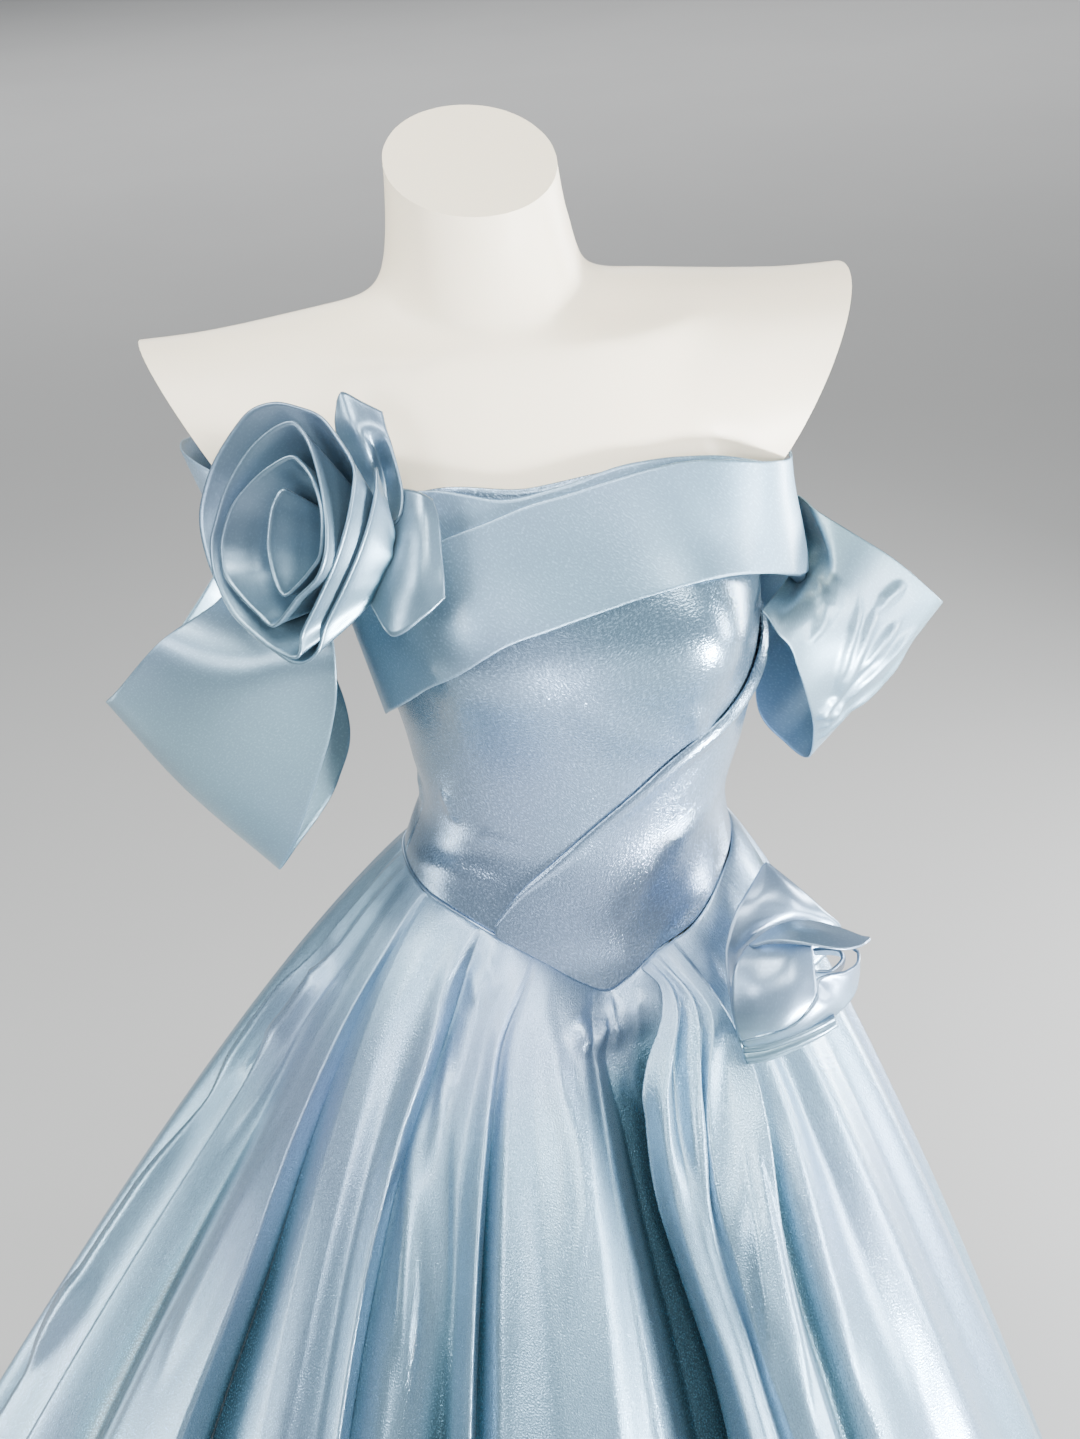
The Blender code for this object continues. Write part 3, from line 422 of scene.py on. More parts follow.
# %% One skin, kept inside the bodice
FORM_EASE = 0.0009
HELD_BELOW = 0.004        # the skin is held inside the cloth up to here above the neckline
FREE_ABOVE = 0.040        # and is free from here on
NECKLINE = [(-180, 1.268), (-135, 1.262), (-105, 1.238), (-75, 1.238), (-60, 1.290),
            (-50, 1.304), (-9, 1.308), (31, 1.311), (50, 1.306), (60, 1.292),
            (75, 1.238), (105, 1.238), (135, 1.262), (180, 1.268)]


def keep_inside_bodice(mesh):
    """Pull the skin inside the bodice below the neckline, and leave it free above."""
    points = np.empty(len(mesh.vertices) * 3)
    mesh.vertices.foreach_get("co", points)
    points = points.reshape(-1, 3)
    middle = along(points[:, 2], TORSO, 1)
    angle = np.degrees(np.arctan2(points[:, 0] - middle, -points[:, 1]))
    top = along(angle, NECKLINE, 1)
    reach = body(angle, points[:, 2], -FORM_EASE)
    limit = np.hypot(reach[:, 0] - middle, reach[:, 1])
    here = np.hypot(points[:, 0] - middle, points[:, 1])
    pull = ease(points[:, 2], top + FREE_ABOVE, top + HELD_BELOW)
    scale = np.where(here > limit, 1 + (limit / here - 1) * pull, 1.0)
    points[:, 0] = middle + (points[:, 0] - middle) * scale
    points[:, 1] = points[:, 1] * scale
    mesh.vertices.foreach_set("co", points.ravel())
    mesh.update()


blend = form_skin.modifiers.new("blend", "REMESH")
blend.mode = "VOXEL"
blend.voxel_size = 0.008
soften = form_skin.modifiers.new("soften", "SMOOTH")
soften.factor = 0.5
soften.iterations = 13
finer = form_skin.modifiers.new("finer", "SUBSURF")
finer.levels = finer.render_levels = 1
apply_modifiers(form_skin)
keep_inside_bodice(form_skin.data)
print("smoothed skin:", len(form_skin.data.polygons), "faces")

# %% Flat cuts at the neck, the arms and the bottom
SHOULDER_HALF = 0.2135
SHOULDER_TOP = 1.391
ARM_CUT_SLOPE = math.radians(28)
ARM_CUT_LENGTH = 0.158
NECK_TOP = (-0.040, -0.015, 1.4795)
NECK_TILT = math.radians(27)
BLOCK_HALF = 0.5
SHARP_FROM = math.radians(38)


def half_space(point, outward, reach_down):
    """A block that lies outward of the point, and ends a little way below it."""
    outward = Vector(outward).normalized()
    net = bmesh.new()
    bmesh.ops.create_cube(net, size=2 * BLOCK_HALF)
    mesh = bpy.data.meshes.new("cut")
    net.to_mesh(mesh)
    net.free()
    turn = outward.to_track_quat("Z", "Y").to_matrix().to_4x4()
    rise = turn.to_3x3() @ Vector((0, BLOCK_HALF - reach_down, 0))
    turn.translation = Vector(point) + outward * BLOCK_HALF + rise
    mesh.transform(turn)
    block = bpy.data.objects.new("cut", mesh)
    gown.objects.link(block)
    return block


aside, upward = math.cos(ARM_CUT_SLOPE), -math.sin(ARM_CUT_SLOPE)
arm_left = (SHOULDER_CENTRE_X + SHOULDER_HALF, 0, SHOULDER_TOP)
arm_right = (SHOULDER_CENTRE_X - SHOULDER_HALF, 0, SHOULDER_TOP)
cuts = [
    (NECK_TOP, (0, -math.sin(NECK_TILT), math.cos(NECK_TILT)), BLOCK_HALF),
    (arm_left, (aside, 0, upward), ARM_CUT_LENGTH),
    (arm_right, (-aside, 0, upward), ARM_CUT_LENGTH),
    ((0, 0, FORM_BOTTOM), (0, 0, -1), BLOCK_HALF),
]
for point, outward, down in cuts:
    boolean(form_skin, half_space(point, outward, down), "DIFFERENCE")
form_skin.data.polygons.foreach_set("use_smooth", [True] * len(form_skin.data.polygons))
form_skin.data.set_sharp_from_angle(angle=SHARP_FROM)
print("dress form:", len(form_skin.data.polygons), "faces")

# %% [markdown]
# ## The stand
#
# A steel pole and a flat round base carry the form. Both are turned shapes: a short profile is
# carried round the axis, with small rounded lips where a spun or turned part would have them.
# A plain cylinder with a bevel would do for the base, but not for the waisted collar that holds
# the pole, and one profile gives both.

# %% Pole and base
POLE_RADIUS = 0.016
BASE_RADIUS = 0.185
BASE_HEIGHT = 0.012
LIP = 0.0022
COLLAR = [(0.034, 0.002), (0.029, 0.006), (0.026, 0.030)]     # radius, height above the base


def turned(name, profile, around=96):
    ring = np.radians(np.linspace(0, 360, around, endpoint=False))
    rows = [np.stack([r * np.sin(ring), -r * np.cos(ring), 0 * ring + z], -1) for r, z in profile]
    made = lofted(name, rows)
    outward_faces(made)
    made.data.set_sharp_from_angle(angle=math.radians(40))
    return made


def lip_round(r, z, first, last):
    """Points of a rounded corner about one centre, between two angles."""
    turns = [math.radians(a) for a in np.linspace(first, last, 5)]
    return [(r + LIP * math.cos(a), z + LIP * math.sin(a)) for a in turns]


base_profile = (lip_round(BASE_RADIUS - LIP, LIP, -90, 0)
                + lip_round(BASE_RADIUS - LIP, BASE_HEIGHT - LIP, 0, 90)
                + [(r, BASE_HEIGHT + z) for r, z in COLLAR])
pole_foot = base_profile[-1][1] + SEAM_GAP
base_plate = turned("stand_base", base_profile)
pole = turned("stand_pole", [(POLE_RADIUS, pole_foot), (POLE_RADIUS, FORM_BOTTOM - SEAM_GAP)], 48)
print("stand:", len(base_plate.data.polygons) + len(pole.data.polygons), "faces")

# %% [markdown]
# ## Writing a finish
#
# A finish is a small sum of patterns: threads, cloudiness, depth of fold. It could be wired by
# hand node by node, but then the sum can't be read. The class below lets it be written as plain
# arithmetic: `Wire` holds one output of a node, and `+`, `-` and `*` on it add Math nodes. Every
# other node comes from `Finish.node`.

# %% Wires and finishes
class Wire:
    """One value in a finish. Arithmetic on it adds Math nodes."""

    def __init__(self, finish, socket):
        self.finish, self.socket = finish, socket

    def maths(self, operation, first, second):
        return self.finish.node("Math", {"operation": operation}, {0: first, 1: second})

    def __add__(self, other): return self.maths("ADD", self, other)
    def __radd__(self, other): return self.maths("ADD", other, self)
    def __sub__(self, other): return self.maths("SUBTRACT", self, other)
    def __rsub__(self, other): return self.maths("SUBTRACT", other, self)
    def __mul__(self, other): return self.maths("MULTIPLY", self, other)
    def __rmul__(self, other): return self.maths("MULTIPLY", other, self)


class Finish:
    """A material that is built node by node."""

    def __init__(self, name):
        self.material = bpy.data.materials.new(name)
        self.material.use_nodes = True
        self.tree = self.material.node_tree
        self.tree.nodes.clear()
        self.out = self.tree.nodes.new("ShaderNodeOutputMaterial")

    def node(self, kind, settings=None, inputs=None, out=0):
        """Add a node, set its settings, then its values and links, and return one output."""
        made = self.tree.nodes.new("ShaderNode" + kind)
        for name, value in (settings or {}).items():
            setattr(made, name, value)
        for key, value in (inputs or {}).items():
            if isinstance(value, Wire):
                self.tree.links.new(value.socket, made.inputs[key])
            else:
                made.inputs[key].default_value = value
        return Wire(self, made.outputs[out])

    def mix(self, share, first, second):
        """Blend two colours."""
        return self.node("Mix", {"data_type": "RGBA"}, {0: share, 6: first, 7: second}, 2)

    def between(self, value, low, high, first=0.0, last=1.0):
        """Carry a value from one range to another, softly and without overshoot."""
        return self.node("MapRange", {"interpolation_type": "SMOOTHSTEP"},
                         {0: value, 1: low, 2: high, 3: first, 4: last})

    def noise(self, place, scale, detail=2.0, rough=0.5, warp=0.0):
        return self.node("TexNoise", {}, {"Vector": place, "Scale": scale, "Detail": detail,
                                          "Roughness": rough, "Distortion": warp})

    def stretched(self, place, scale):
        """The same place with each direction scaled on its own."""
        return self.node("VectorMath", {"operation": "MULTIPLY"}, {0: place, 1: scale})

    def surface(self, inputs):
        skin = self.node("BsdfPrincipled", {}, inputs)
        self.tree.links.new(skin.socket, self.out.inputs["Surface"])
        return self.material


# %% [markdown]
# ## The satin
#
# Shot organza satin is woven from very fine bright threads, so it is half a mirror and half a
# cloth. Blender's sheen alone gives velvet, and a plain mirror gives foil. Three things make it
# read as satin. The face is glossy and largely metallic, under a thin clear coat. Fine slubs
# and flecks run along both thread directions, and under a lamp each one gives a short white
# spark. In the hollows of the folds a painted shade darkens the colour and turns it from steel
# blue towards aqua, where the real cloth lies in shade. A weak, wide lavender cloud stands for
# the cross threads' own colour.
#
# The threads follow the UV map in metres, so they turn with each piece of cloth.

# %% The satin's threads and colours
STEEL = (0.185, 0.315, 0.430, 1)
# Colour painted into the hollows of the folds as their shade: darker, and turned towards aqua.
HOLLOW_SHADE = (0.060, 0.205, 0.290, 1)
LAVENDER = (0.225, 0.300, 0.455, 1)
# How many times a metre each pattern changes, across and down the threads.
WARP = (1500, 420, 0)
WEFT = (380, 1500, 0)
SLUB = (760, 60, 0)
FLECK = (470, 800, 0)
CREPE = (60, 30, 0)


def satin(name, face, gloss, spark, crease, bias=0):
    """One cloth: its colour, roughness, strength of sparkle and of crinkle, and thread angle."""
    made = Finish(name)
    threads = made.node("UVMap", {"uv_map": "threads"})
    threads = made.node("VectorRotate", {"rotation_type": "Z_AXIS"},
                        {"Vector": threads, "Angle": math.radians(bias)})
    place = made.node("TexCoord", out=3)
    painted_shade = made.node("Attribute", {"attribute_name": "painted_shade"}, out=2)
    warp = made.noise(made.stretched(threads, WARP), 1.0, 2, 0.6)
    weft = made.noise(made.stretched(threads, WEFT), 1.0, 2, 0.6)
    cloud = made.noise(place, 3.4, 2, 0.5, 0.4)
    mottle = made.noise(place, 26.0, 3, 0.55)
    crepe = made.noise(made.stretched(threads, CREPE), 1.0, 3, 0.5)
    slub = made.noise(made.stretched(threads, SLUB), 1.0, 2, 0.6)
    fleck = made.noise(made.stretched(threads, FLECK), 1.0, 1, 0.5)
    flash = made.between(fleck, 0.50, 0.74)
    grain = (warp - 0.5) + (weft - 0.5) * 0.8 + (fleck - 0.5) * 0.9
    tone = made.mix(made.between(cloud, 0.42, 0.68, 0.0, 0.75), face, LAVENDER)
    # Painted shade: deep in a fold and at a flower's base the colour turns towards the darker aqua and loses
    # value.
    tone = made.mix(made.between(painted_shade, 0.55, 1.0, 0.0, 0.75), tone, HOLLOW_SHADE)
    value = (made.between(painted_shade, 0.70, 1.0, 1.0, 0.30) + (mottle - 0.5) * 0.10
             + (slub - 0.5) * 0.10 + flash * spark + grain * (0.20 * spark))
    shade = made.node("HueSaturation", {}, {"Value": value, "Color": tone})
    thread_mix = warp * 0.4 + weft * 0.3 + slub * 0.3
    rough = made.between(thread_mix, 0.32, 0.70, gloss + 0.07, gloss - 0.07) - flash * (0.05 * spark)
    fine = made.node("Bump", {}, {"Strength": 1.0, "Distance": 0.00026 * spark, "Height": fleck})
    bumped = made.node("Bump", {}, {"Strength": 0.25, "Distance": 0.0016 * crease,
                                    "Height": crepe, "Normal": fine})
    return made.surface({
        "Base Color": shade, "Roughness": rough, "Metallic": 0.70, "Normal": bumped,
        "Sheen Weight": 0.05, "Sheen Roughness": 0.35, "Sheen Tint": (0.86, 0.93, 1, 1),
        "Specular IOR Level": 0.7, "Anisotropic": 0.35, "Coat Weight": 0.30,
        "Coat Roughness": 0.21, "Coat Tint": (0.93, 0.97, 1, 1)})


# %% One satin, cut five ways
# The bands are cut on the bias, so their threads lie at 45 degrees.
# The faces differ from piece to piece as painted shade: the bodice, the sleeves and the flowers are painted
# darker than the skirt and the bands, though all are cut from one cloth.
LOOKS = {
    "bodice_satin": dict(face=(0.130, 0.220, 0.302, 1), gloss=0.24, spark=1.0, crease=0.25),
    "band_satin": dict(face=(0.190, 0.320, 0.430, 1), gloss=0.42, spark=0.4, crease=0.3, bias=45),
    "sleeve_satin": dict(face=(0.160, 0.268, 0.335, 1), gloss=0.42, spark=0.25, crease=0.5),
    "skirt_satin": dict(face=STEEL, gloss=0.29, spark=1.0, crease=0.3),
    "flower_satin": dict(face=(0.112, 0.203, 0.262, 1), gloss=0.35, spark=0.15, crease=0.2),
}
SATIN = {name: satin(name, **look) for name, look in LOOKS.items()}
print("satins:", ", ".join(SATIN))

# %% [markdown]
# ## The form's coat and the stand's steel
#
# The form has a sprayed coat: warm white, smooth to the hand, with the faint unevenness that
# sprayed paint keeps. A flat colour would look like plastic, so a wide cloud shifts its tone and
# its gloss a little. The stand is brushed steel, and its fine scratches run round the axis: they
# are one noise pattern, drawn out flat by a large scale along the axis.

# %% Coat and steel
def form_coat():
    made = Finish("form_coat")
    place = made.node("TexCoord", out=3)
    peel = made.noise(place, 420.0, 2, 0.5)
    cloud = made.noise(place, 5.0, 3, 0.5)
    tone = made.mix(made.between(cloud, 0.35, 0.7), (0.955, 0.860, 0.690, 1), (0.930, 0.835, 0.670, 1))
    bumped = made.node("Bump", {}, {"Strength": 0.05, "Distance": 0.0006, "Height": peel})
    return made.surface({"Base Color": tone, "Roughness": made.between(cloud, 0.3, 0.7, 0.40, 0.50),
                         "Normal": bumped, "Subsurface Weight": 0.06,
                         "Subsurface Radius": (0.02, 0.012, 0.008), "Specular IOR Level": 0.45})


def brushed_steel():
    made = Finish("stand_steel")
    place = made.node("TexCoord", out=3)
    brush = made.noise(made.stretched(place, (40, 40, 2400)), 1.0, 3, 0.6)
    tone = made.mix(brush, (0.50, 0.51, 0.53, 1), (0.66, 0.67, 0.69, 1))
    bumped = made.node("Bump", {}, {"Strength": 0.12, "Distance": 0.0004, "Height": brush})
    return made.surface({"Base Color": tone, "Roughness": made.between(brush, 0.3, 0.7, 0.26, 0.42),
                         "Metallic": 1.0, "Normal": bumped})


coat, steel = form_coat(), brushed_steel()
print("coat and steel:", coat.name, steel.name)

# %% Giving the form and its stand their finish
def dress(piece, slot, finish, *nodes):
    """Give a piece its finish and its body, and let it stand for its solids."""
    piece.data.materials.clear()
    piece.data.materials.append(finish)
    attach(piece, "root")
    if nodes:
        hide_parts(*nodes)


dress(form_skin, "form_shell", coat, "form_torso")
dress(pole, "stand_metal", steel, "form_pole")
dress(base_plate, "stand_metal", steel, "form_base")
print("finished the form and its stand")

# %% [markdown]
# ## Wrinkles and ridges
#
# A drag line, a wrinkle or the edge of a tuck is a narrow ridge along a line on the cloth. It
# could be a bump in the finish, but then the outline and the wall would stay flat, so it is real
# shape here. `ridge` measures how far every point of a sheet lies from such a line and gives the
# rise there. A round ridge is a soft wrinkle, and a sharp one is a pressed crease. A step is
# higher on one side of the line than on the other, as where one layer is folded over the next.

# %% The rise along one line
FAR_AWAY = 9.0
FADE_SHARE = 0.35         # share of the line over which each end fades
TIP_WIDTH = 0.35          # width of the ridge at its tips, as a share of its full width
STEP_UNDER = 0.3          # width of a step on its lower side, as a share of its upper side


def nearest_on(line, grid):
    """For each point of a sheet: distance to the line, share along it, and the side it is on."""
    steps = np.linalg.norm(np.diff(line, axis=0), axis=1)
    total, run = steps.sum(), 0.0
    best = np.full(grid.shape[:2], FAR_AWAY)
    share = np.zeros(grid.shape[:2])
    side = np.zeros(grid.shape[:2])
    normal = sheet_normals(grid)
    for a, b, step in zip(line[:-1], line[1:], steps):
        along_it = (b - a) / step
        t = np.clip(((grid - a) @ along_it), 0, step)
        away = grid - (a + t[..., None] * along_it)
        distance = np.linalg.norm(away, axis=-1)
        nearer = distance < best
        best = np.where(nearer, distance, best)
        share = np.where(nearer, (run + t) / total, share)
        which = np.einsum("...k,...k", np.cross(normal, along_it), away)
        side = np.where(nearer, which, side)
        run += step
    return best, share, side


def ridge(grid, line, width, height, kind):
    """Rise of each point of a sheet near a line of points; it fades at the line's two ends."""
    best, share, side = nearest_on(line, grid)
    fading = ease(share, 0, FADE_SHARE) * ease(share, 1, 1 - FADE_SHARE)
    width = width * (TIP_WIDTH + (1 - TIP_WIDTH) * fading)
    if kind == "sharp":
        shape = np.exp(-best / width)
    elif kind == "step":
        shape = np.where(side > 0, bump(best, width), bump(best, STEP_UNDER * width))
    else:
        shape = bump(best, width)
    return height * fading * shape


# %% Creasing a sheet and dressing it
def creased(points, creases, out=1):
    """Raise a sheet along a table of creases; out is -1 where the sheet faces inward."""
    rise = 0
    for kind, width, height, line in creases:
        rise = rise + ridge(points, np.array(line) / 1000, width / 1000, height / 1000, kind)
    return raise_by(points, out * rise)


def dress_sheet(piece, slot, held, rests_on, *nodes):
    """Dress a piece in satin."""
    dress(piece, slot, SATIN[slot], *nodes)


patch = smooth_net([[(0, 0, 0), (0.1, 0, 0)], [(0, 0.1, 0), (0.1, 0.1, 0)]], 20, 20)
patch = creased(patch, [("round", 9, 3, [(0, 50, 0), (100, 50, 0)])])
print(f"a 3 mm wrinkle on a test patch rises {abs(patch[..., 2]).max() * 1000:.1f} mm")

# %% [markdown]
# ## The bodice
#
# A boned bodice is cut close and pulled tight by its back closing, so its cloth is nearly
# smooth. It shows only short drag lines above the waist seam, where the body bends, and a
# gentle pull under the bust. A cloth simulation would relax this pull away, so the sheets follow
# the body outline and the drag lines are listed one by one. The front is one sheet, and the backs
# are two that meet at the concealed zip. The overlay is a second layer drawn up from the point
# to the side seam, with its upper edge rolled over.

# %% Front and backs of the bodice
# The waist seam: a long point at the front, nearly level at the sides and the back.
WAIST_SEAM = [(-180, 1.006), (-135, 1.018), (-90, 1.028), (-67, 1.025), (-50, 1.019),
              (-38, 1.010), (-20, 0.991), (-8, 0.974), (0, 0.966), (8, 0.972), (20, 0.987),
              (38, 0.999), (50, 1.013), (67, 1.025), (90, 1.028), (135, 1.018), (180, 1.006)]
# Creases: kind, width and height in mm, and the line in mm. A round one is a soft wrinkle, a
# sharp one a pressed crease, and a step is a fold that lies over the cloth beside it.
# The points of every table of creases were picked by eye, and a helper script that isn't kept
# turned them into these millimetres.
BODICE_CREASES = [
    ("sharp", 5, 2.2, [(-111, 0, 1042), (-69, -73, 1075), (-32, -87, 1062)]),
    ("round", 6, 2.2, [(-94, -49, 1103), (-91, -52, 1093), (-86, -55, 1075)]),
    ("round", 6, 2.2, [(-104, -5, 1094), (-102, 0, 1066), (-102, -6, 1061)]),
    ("round", 7, 1.6, [(-116, 0, 1030), (-104, -39, 1042), (-82, -67, 1045), (-59, -82, 1043)]),
    ("round", 8, 1.8, [(54, -111, 1169), (64, -95, 1139), (81, -74, 1116)]),
    ("round", 14, 1.2, [(-25, -116, 1184), (12, -105, 1150), (58, -92, 1127)]),
]
BACKS = [("bodice_back_left", 90.1, 179.8), ("bodice_back_right", 180.2, 269.9)]
DRAG_LINES = 0.0006       # rise of the faint drag lines in the small of the back
HIP_EASE = 0.0004         # rise of the backs just above the waist seam


def waist(angle):
    return along(half_turn(angle), WAIST_SEAM, 1)


def seam_line(angle):
    return waist(angle) + SEAM_GAP / 2


def neckline(angle):
    return along(half_turn(angle), NECKLINE, 1)


def flat_out(angle, share):
    """Distance from the body where a sheet lies straight on it."""
    return TOP_OFFSET


def bodice_sheet(first, last, upper, columns, rows, out=flat_out):
    """Sheet between two angles, from the waist seam to an upper edge: angles, shares, points."""
    angle = np.linspace(first, last, columns + 1)[:, None]
    share = np.linspace(0, 1, rows + 1)[None, :]
    low, high = seam_line(angle), upper(angle)
    height = low + (high - low) * share
    angle, share = angle + 0 * height, share + 0 * height
    return angle, share, body(angle, height, out(angle, share))


_, _, points = bodice_sheet(-89.9, 89.9, neckline, 150, 120)
bodice = cloth("bodice_front_cloth", creased(points, BODICE_CREASES))
dress_sheet(bodice, "bodice_satin", "stretched", ["form_skin"], "bodice_front")
for name, first, last in BACKS:
    angle, share, points = bodice_sheet(first, last, neckline, 60, 70)
    waves = DRAG_LINES * np.sin(angle * 0.21 + 40 * share) * bump(share - 0.16, 0.16)
    back = cloth(name + "_cloth", raise_by(points, waves + HIP_EASE * bump(share - 0.1, 0.05)))
    dress_sheet(back, "bodice_satin", "stretched", ["form_skin"], name)

# %% Overlay
# The edge of the lower overlay, from the waist seam up to the side seam.
OVERLAY_EDGE = [(-38, 1.0115), (-29, 1.037), (-18.5, 1.056), (-4.5, 1.078), (9, 1.098),
                (30, 1.130), (39, 1.140), (47.5, 1.149), (68, 1.170), (90, 1.186)]
OVERLAY_CREASES = [
    ("round", 12, 1.6, [(-7, -99, 1003), (22, -93, 1031), (59, -78, 1060), (95, -45, 1083)]),
    ("round", 10, 1.8, [(19, -100, 991), (56, -85, 1013), (88, -56, 1021)]),
]
WRAP_OFFSET = TOP_OFFSET + LAYER


def overlay_edge(angle):
    return along(angle, OVERLAY_EDGE, 1)


def rolled(angle, share):
    """Distance of the overlay from the body: its upper edge swells and then turns in."""
    swell = 0.0008 + 0.0052 * ease(angle, 0, 70)
    return WRAP_OFFSET - 0.0007 * ease(share, 0.975, 1.0) + swell * bump(share - 0.94, 0.05)


_, _, points = bodice_sheet(-36.5, 89.9, overlay_edge, 130, 90, rolled)
overlay = cloth("bodice_overlay_cloth", creased(points, OVERLAY_CREASES))
dress_sheet(overlay, "bodice_satin", "stretched", ["bodice_front_cloth"], "bodice_overlay")

# %% [markdown]
# ## Piping and the back closing
#
# A fine satin cord is caught in the waist seam, so the seam reads as a thin bright line. The
# concealed zip shows only as a closed seam with a row of hand stitches on each side of it and
# a small pull at the top. All three are thin and round, so each is a curve with a round bevel,
# which needs no more than its middle line.

# %% Piping, zip pull and stitches
PIPING_RADIUS = 0.0009
PIPING_DROP = 0.0002      # how far the piping lies below the seam line
PIPING_OUT = 0.0011       # and how far outside the bodice's middle
STITCH_RADIUS = 0.00028
STITCH_EVERY = 0.0052
STITCH_LENGTH = 0.0018
STITCH_OUT = 0.0007
STITCH_ROWS = (178.3, 181.7)
ZIP_BOTTOM, ZIP_TOP = 1.012, 1.262
PULL_RADIUS = 0.0011
PULL_END = 1.246
PULL_OUT = 0.0034


def cords_along(name, lines, radius):
    """Thin round cords, such as stitches or a rolled edge, along lines of points."""
    curve = bpy.data.curves.new(name, "CURVE")
    curve.dimensions = "3D"
    curve.bevel_depth = radius
    curve.bevel_resolution = 2
    curve.use_fill_caps = True
    for line in lines:
        spline = curve.splines.new("POLY")
        spline.points.add(len(line) - 1)
        spline.points.foreach_set("co", np.c_[line, np.ones(len(line))].ravel())
    made = bpy.data.objects.new(name, curve)
    gown.objects.link(made)
    return made


def stitches(points):
    """Cut a fine line of points into stitches."""
    runs, at = [], run_lengths(points[:, None], 0)[:, 0]
    for start in np.arange(0.002, at[-1] - STITCH_LENGTH, STITCH_EVERY):
        spots = np.linspace(start, start + STITCH_LENGTH, 4)
        runs.append(np.stack([np.interp(spots, at, points[:, k]) for k in range(3)], -1))
    return runs


turns = np.linspace(-90, 270, 361)
seam_cord = body(turns, waist(turns) - PIPING_DROP, TOP_OFFSET + PIPING_OUT)
piping = cords_along("waist_piping", [seam_cord], PIPING_RADIUS)
up = np.linspace(ZIP_BOTTOM, ZIP_TOP, 60)
sewn = [line for turn in STITCH_ROWS
        for line in stitches(body(turn + 0 * up, up, TOP_OFFSET + STITCH_OUT))]
zip_stitches = cords_along("zip_stitches", sewn, STITCH_RADIUS)
pull_line = body(np.full(14, 180.0), np.linspace(ZIP_TOP, PULL_END, 14), PULL_OUT)
zip_pull = cords_along("zip_pull", [pull_line], PULL_RADIUS)
for piece in (piping, zip_stitches, zip_pull):
    dress(piece, "bodice_satin", SATIN["bodice_satin"])
print("stitches along the zip:", len(sewn))

# %% [markdown]
# ## The shoulder bands
#
# Each band is a bias strip folded double, so its edges are soft folds and not cut edges. The
# upper band lies over the lower one and ends in a turned roll over the wearer's left arm. The
# bands are wound round the shoulders and stand clear of the form at the arms. A strip swept
# along a curve would keep one width, and these taper and cross, so each band is a table of its
# two edges: their heights and their distances from the body.

# %% Bands
UNDER_BAND_OFFSET = TOP_OFFSET + LAYER
OVER_BAND_OFFSET = TOP_OFFSET + 2.2 * LAYER
# Shoulder bands: angle, height of the two edges, distance from the body at each edge.
UNDER_BAND = [
    (-128, 1.306, 1.256, 0.052, 0.048),
    (-110, 1.313, 1.256, 0.070, 0.066),
    (-100, 1.320, 1.256, 0.073, 0.067),
    (-90, 1.329, 1.256, 0.074, 0.064),
    (-80, 1.332, 1.256, 0.074, 0.064),
    (-70, 1.328, 1.258, 0.066, 0.058),
    (-60, 1.321, 1.268, 0.036, 0.033),
    (-52, 1.315, 1.279, 0.017, 0.017),
    (-46, 1.312, 1.284, 0.0085, 0.0085),
    (-38, 1.311, 1.283, 0.0042, 0.0042),
    (-30, 1.308, 1.268, UNDER_BAND_OFFSET, UNDER_BAND_OFFSET),
    (-20, 1.304, 1.256, UNDER_BAND_OFFSET, UNDER_BAND_OFFSET),
    (0, 1.307, 1.256, UNDER_BAND_OFFSET, UNDER_BAND_OFFSET),
    (30, 1.314, 1.272, UNDER_BAND_OFFSET, UNDER_BAND_OFFSET),
    (45, 1.311, 1.272, 0.0038, 0.0038),
    (55, 1.306, 1.268, 0.0095, 0.0095),
    (66, 1.294, 1.262, 0.0190, 0.0190),
]
OVER_BAND = [
    (-97, 1.232, 1.130, 0.0085, 0.0090),
    (-88, 1.240, 1.136, 0.0095, 0.0100),
    (-76, 1.246, 1.150, 0.0100, 0.0095),
    (-64, 1.250, 1.166, 0.0100, 0.0085),
    (-56, 1.257, 1.178, 0.0090, 0.0065),
    (-46, 1.272, 1.194, 0.0075, OVER_BAND_OFFSET),
    (-37, 1.284, 1.207, 0.0072, OVER_BAND_OFFSET),
    (-24, 1.293, 1.225, OVER_BAND_OFFSET, OVER_BAND_OFFSET),
    (-11, 1.300, 1.231, OVER_BAND_OFFSET, OVER_BAND_OFFSET),
    (4, 1.304, 1.237, OVER_BAND_OFFSET, OVER_BAND_OFFSET),
    (19, 1.308, 1.243, OVER_BAND_OFFSET, OVER_BAND_OFFSET),
    (33, 1.310, 1.245, OVER_BAND_OFFSET + 0.0004, OVER_BAND_OFFSET),
    (45, 1.309, 1.240, 0.0085, 0.0078),
    (55, 1.304, 1.232, 0.0158, 0.0155),
    (66, 1.294, 1.220, 0.0255, 0.0250),
    (75, 1.287, 1.211, 0.0310, 0.0310),
    (84, 1.284, 1.204, 0.0330, 0.0335),
]
BACK_BAND = [
    (92, 1.281, 1.215, 0.0320, 0.0325),
    (100, 1.280, 1.215, 0.0310, 0.0315),
    (108, 1.279, 1.215, 0.0285, 0.0285),
    (122, 1.279, 1.215, 0.0180, 0.0170),
    (138, 1.281, 1.215, 0.0075, 0.0065),
    (160, 1.285, 1.216, UNDER_BAND_OFFSET, UNDER_BAND_OFFSET),
    (180, 1.290, 1.220, UNDER_BAND_OFFSET, UNDER_BAND_OFFSET),
    (200, 1.294, 1.226, UNDER_BAND_OFFSET + 0.001, UNDER_BAND_OFFSET),
    (212, 1.298, 1.236, 0.010, 0.008),
    (222, 1.302, 1.246, 0.027, 0.025),
    (231.6, 1.306, 1.256, 0.0515, 0.0475),
]


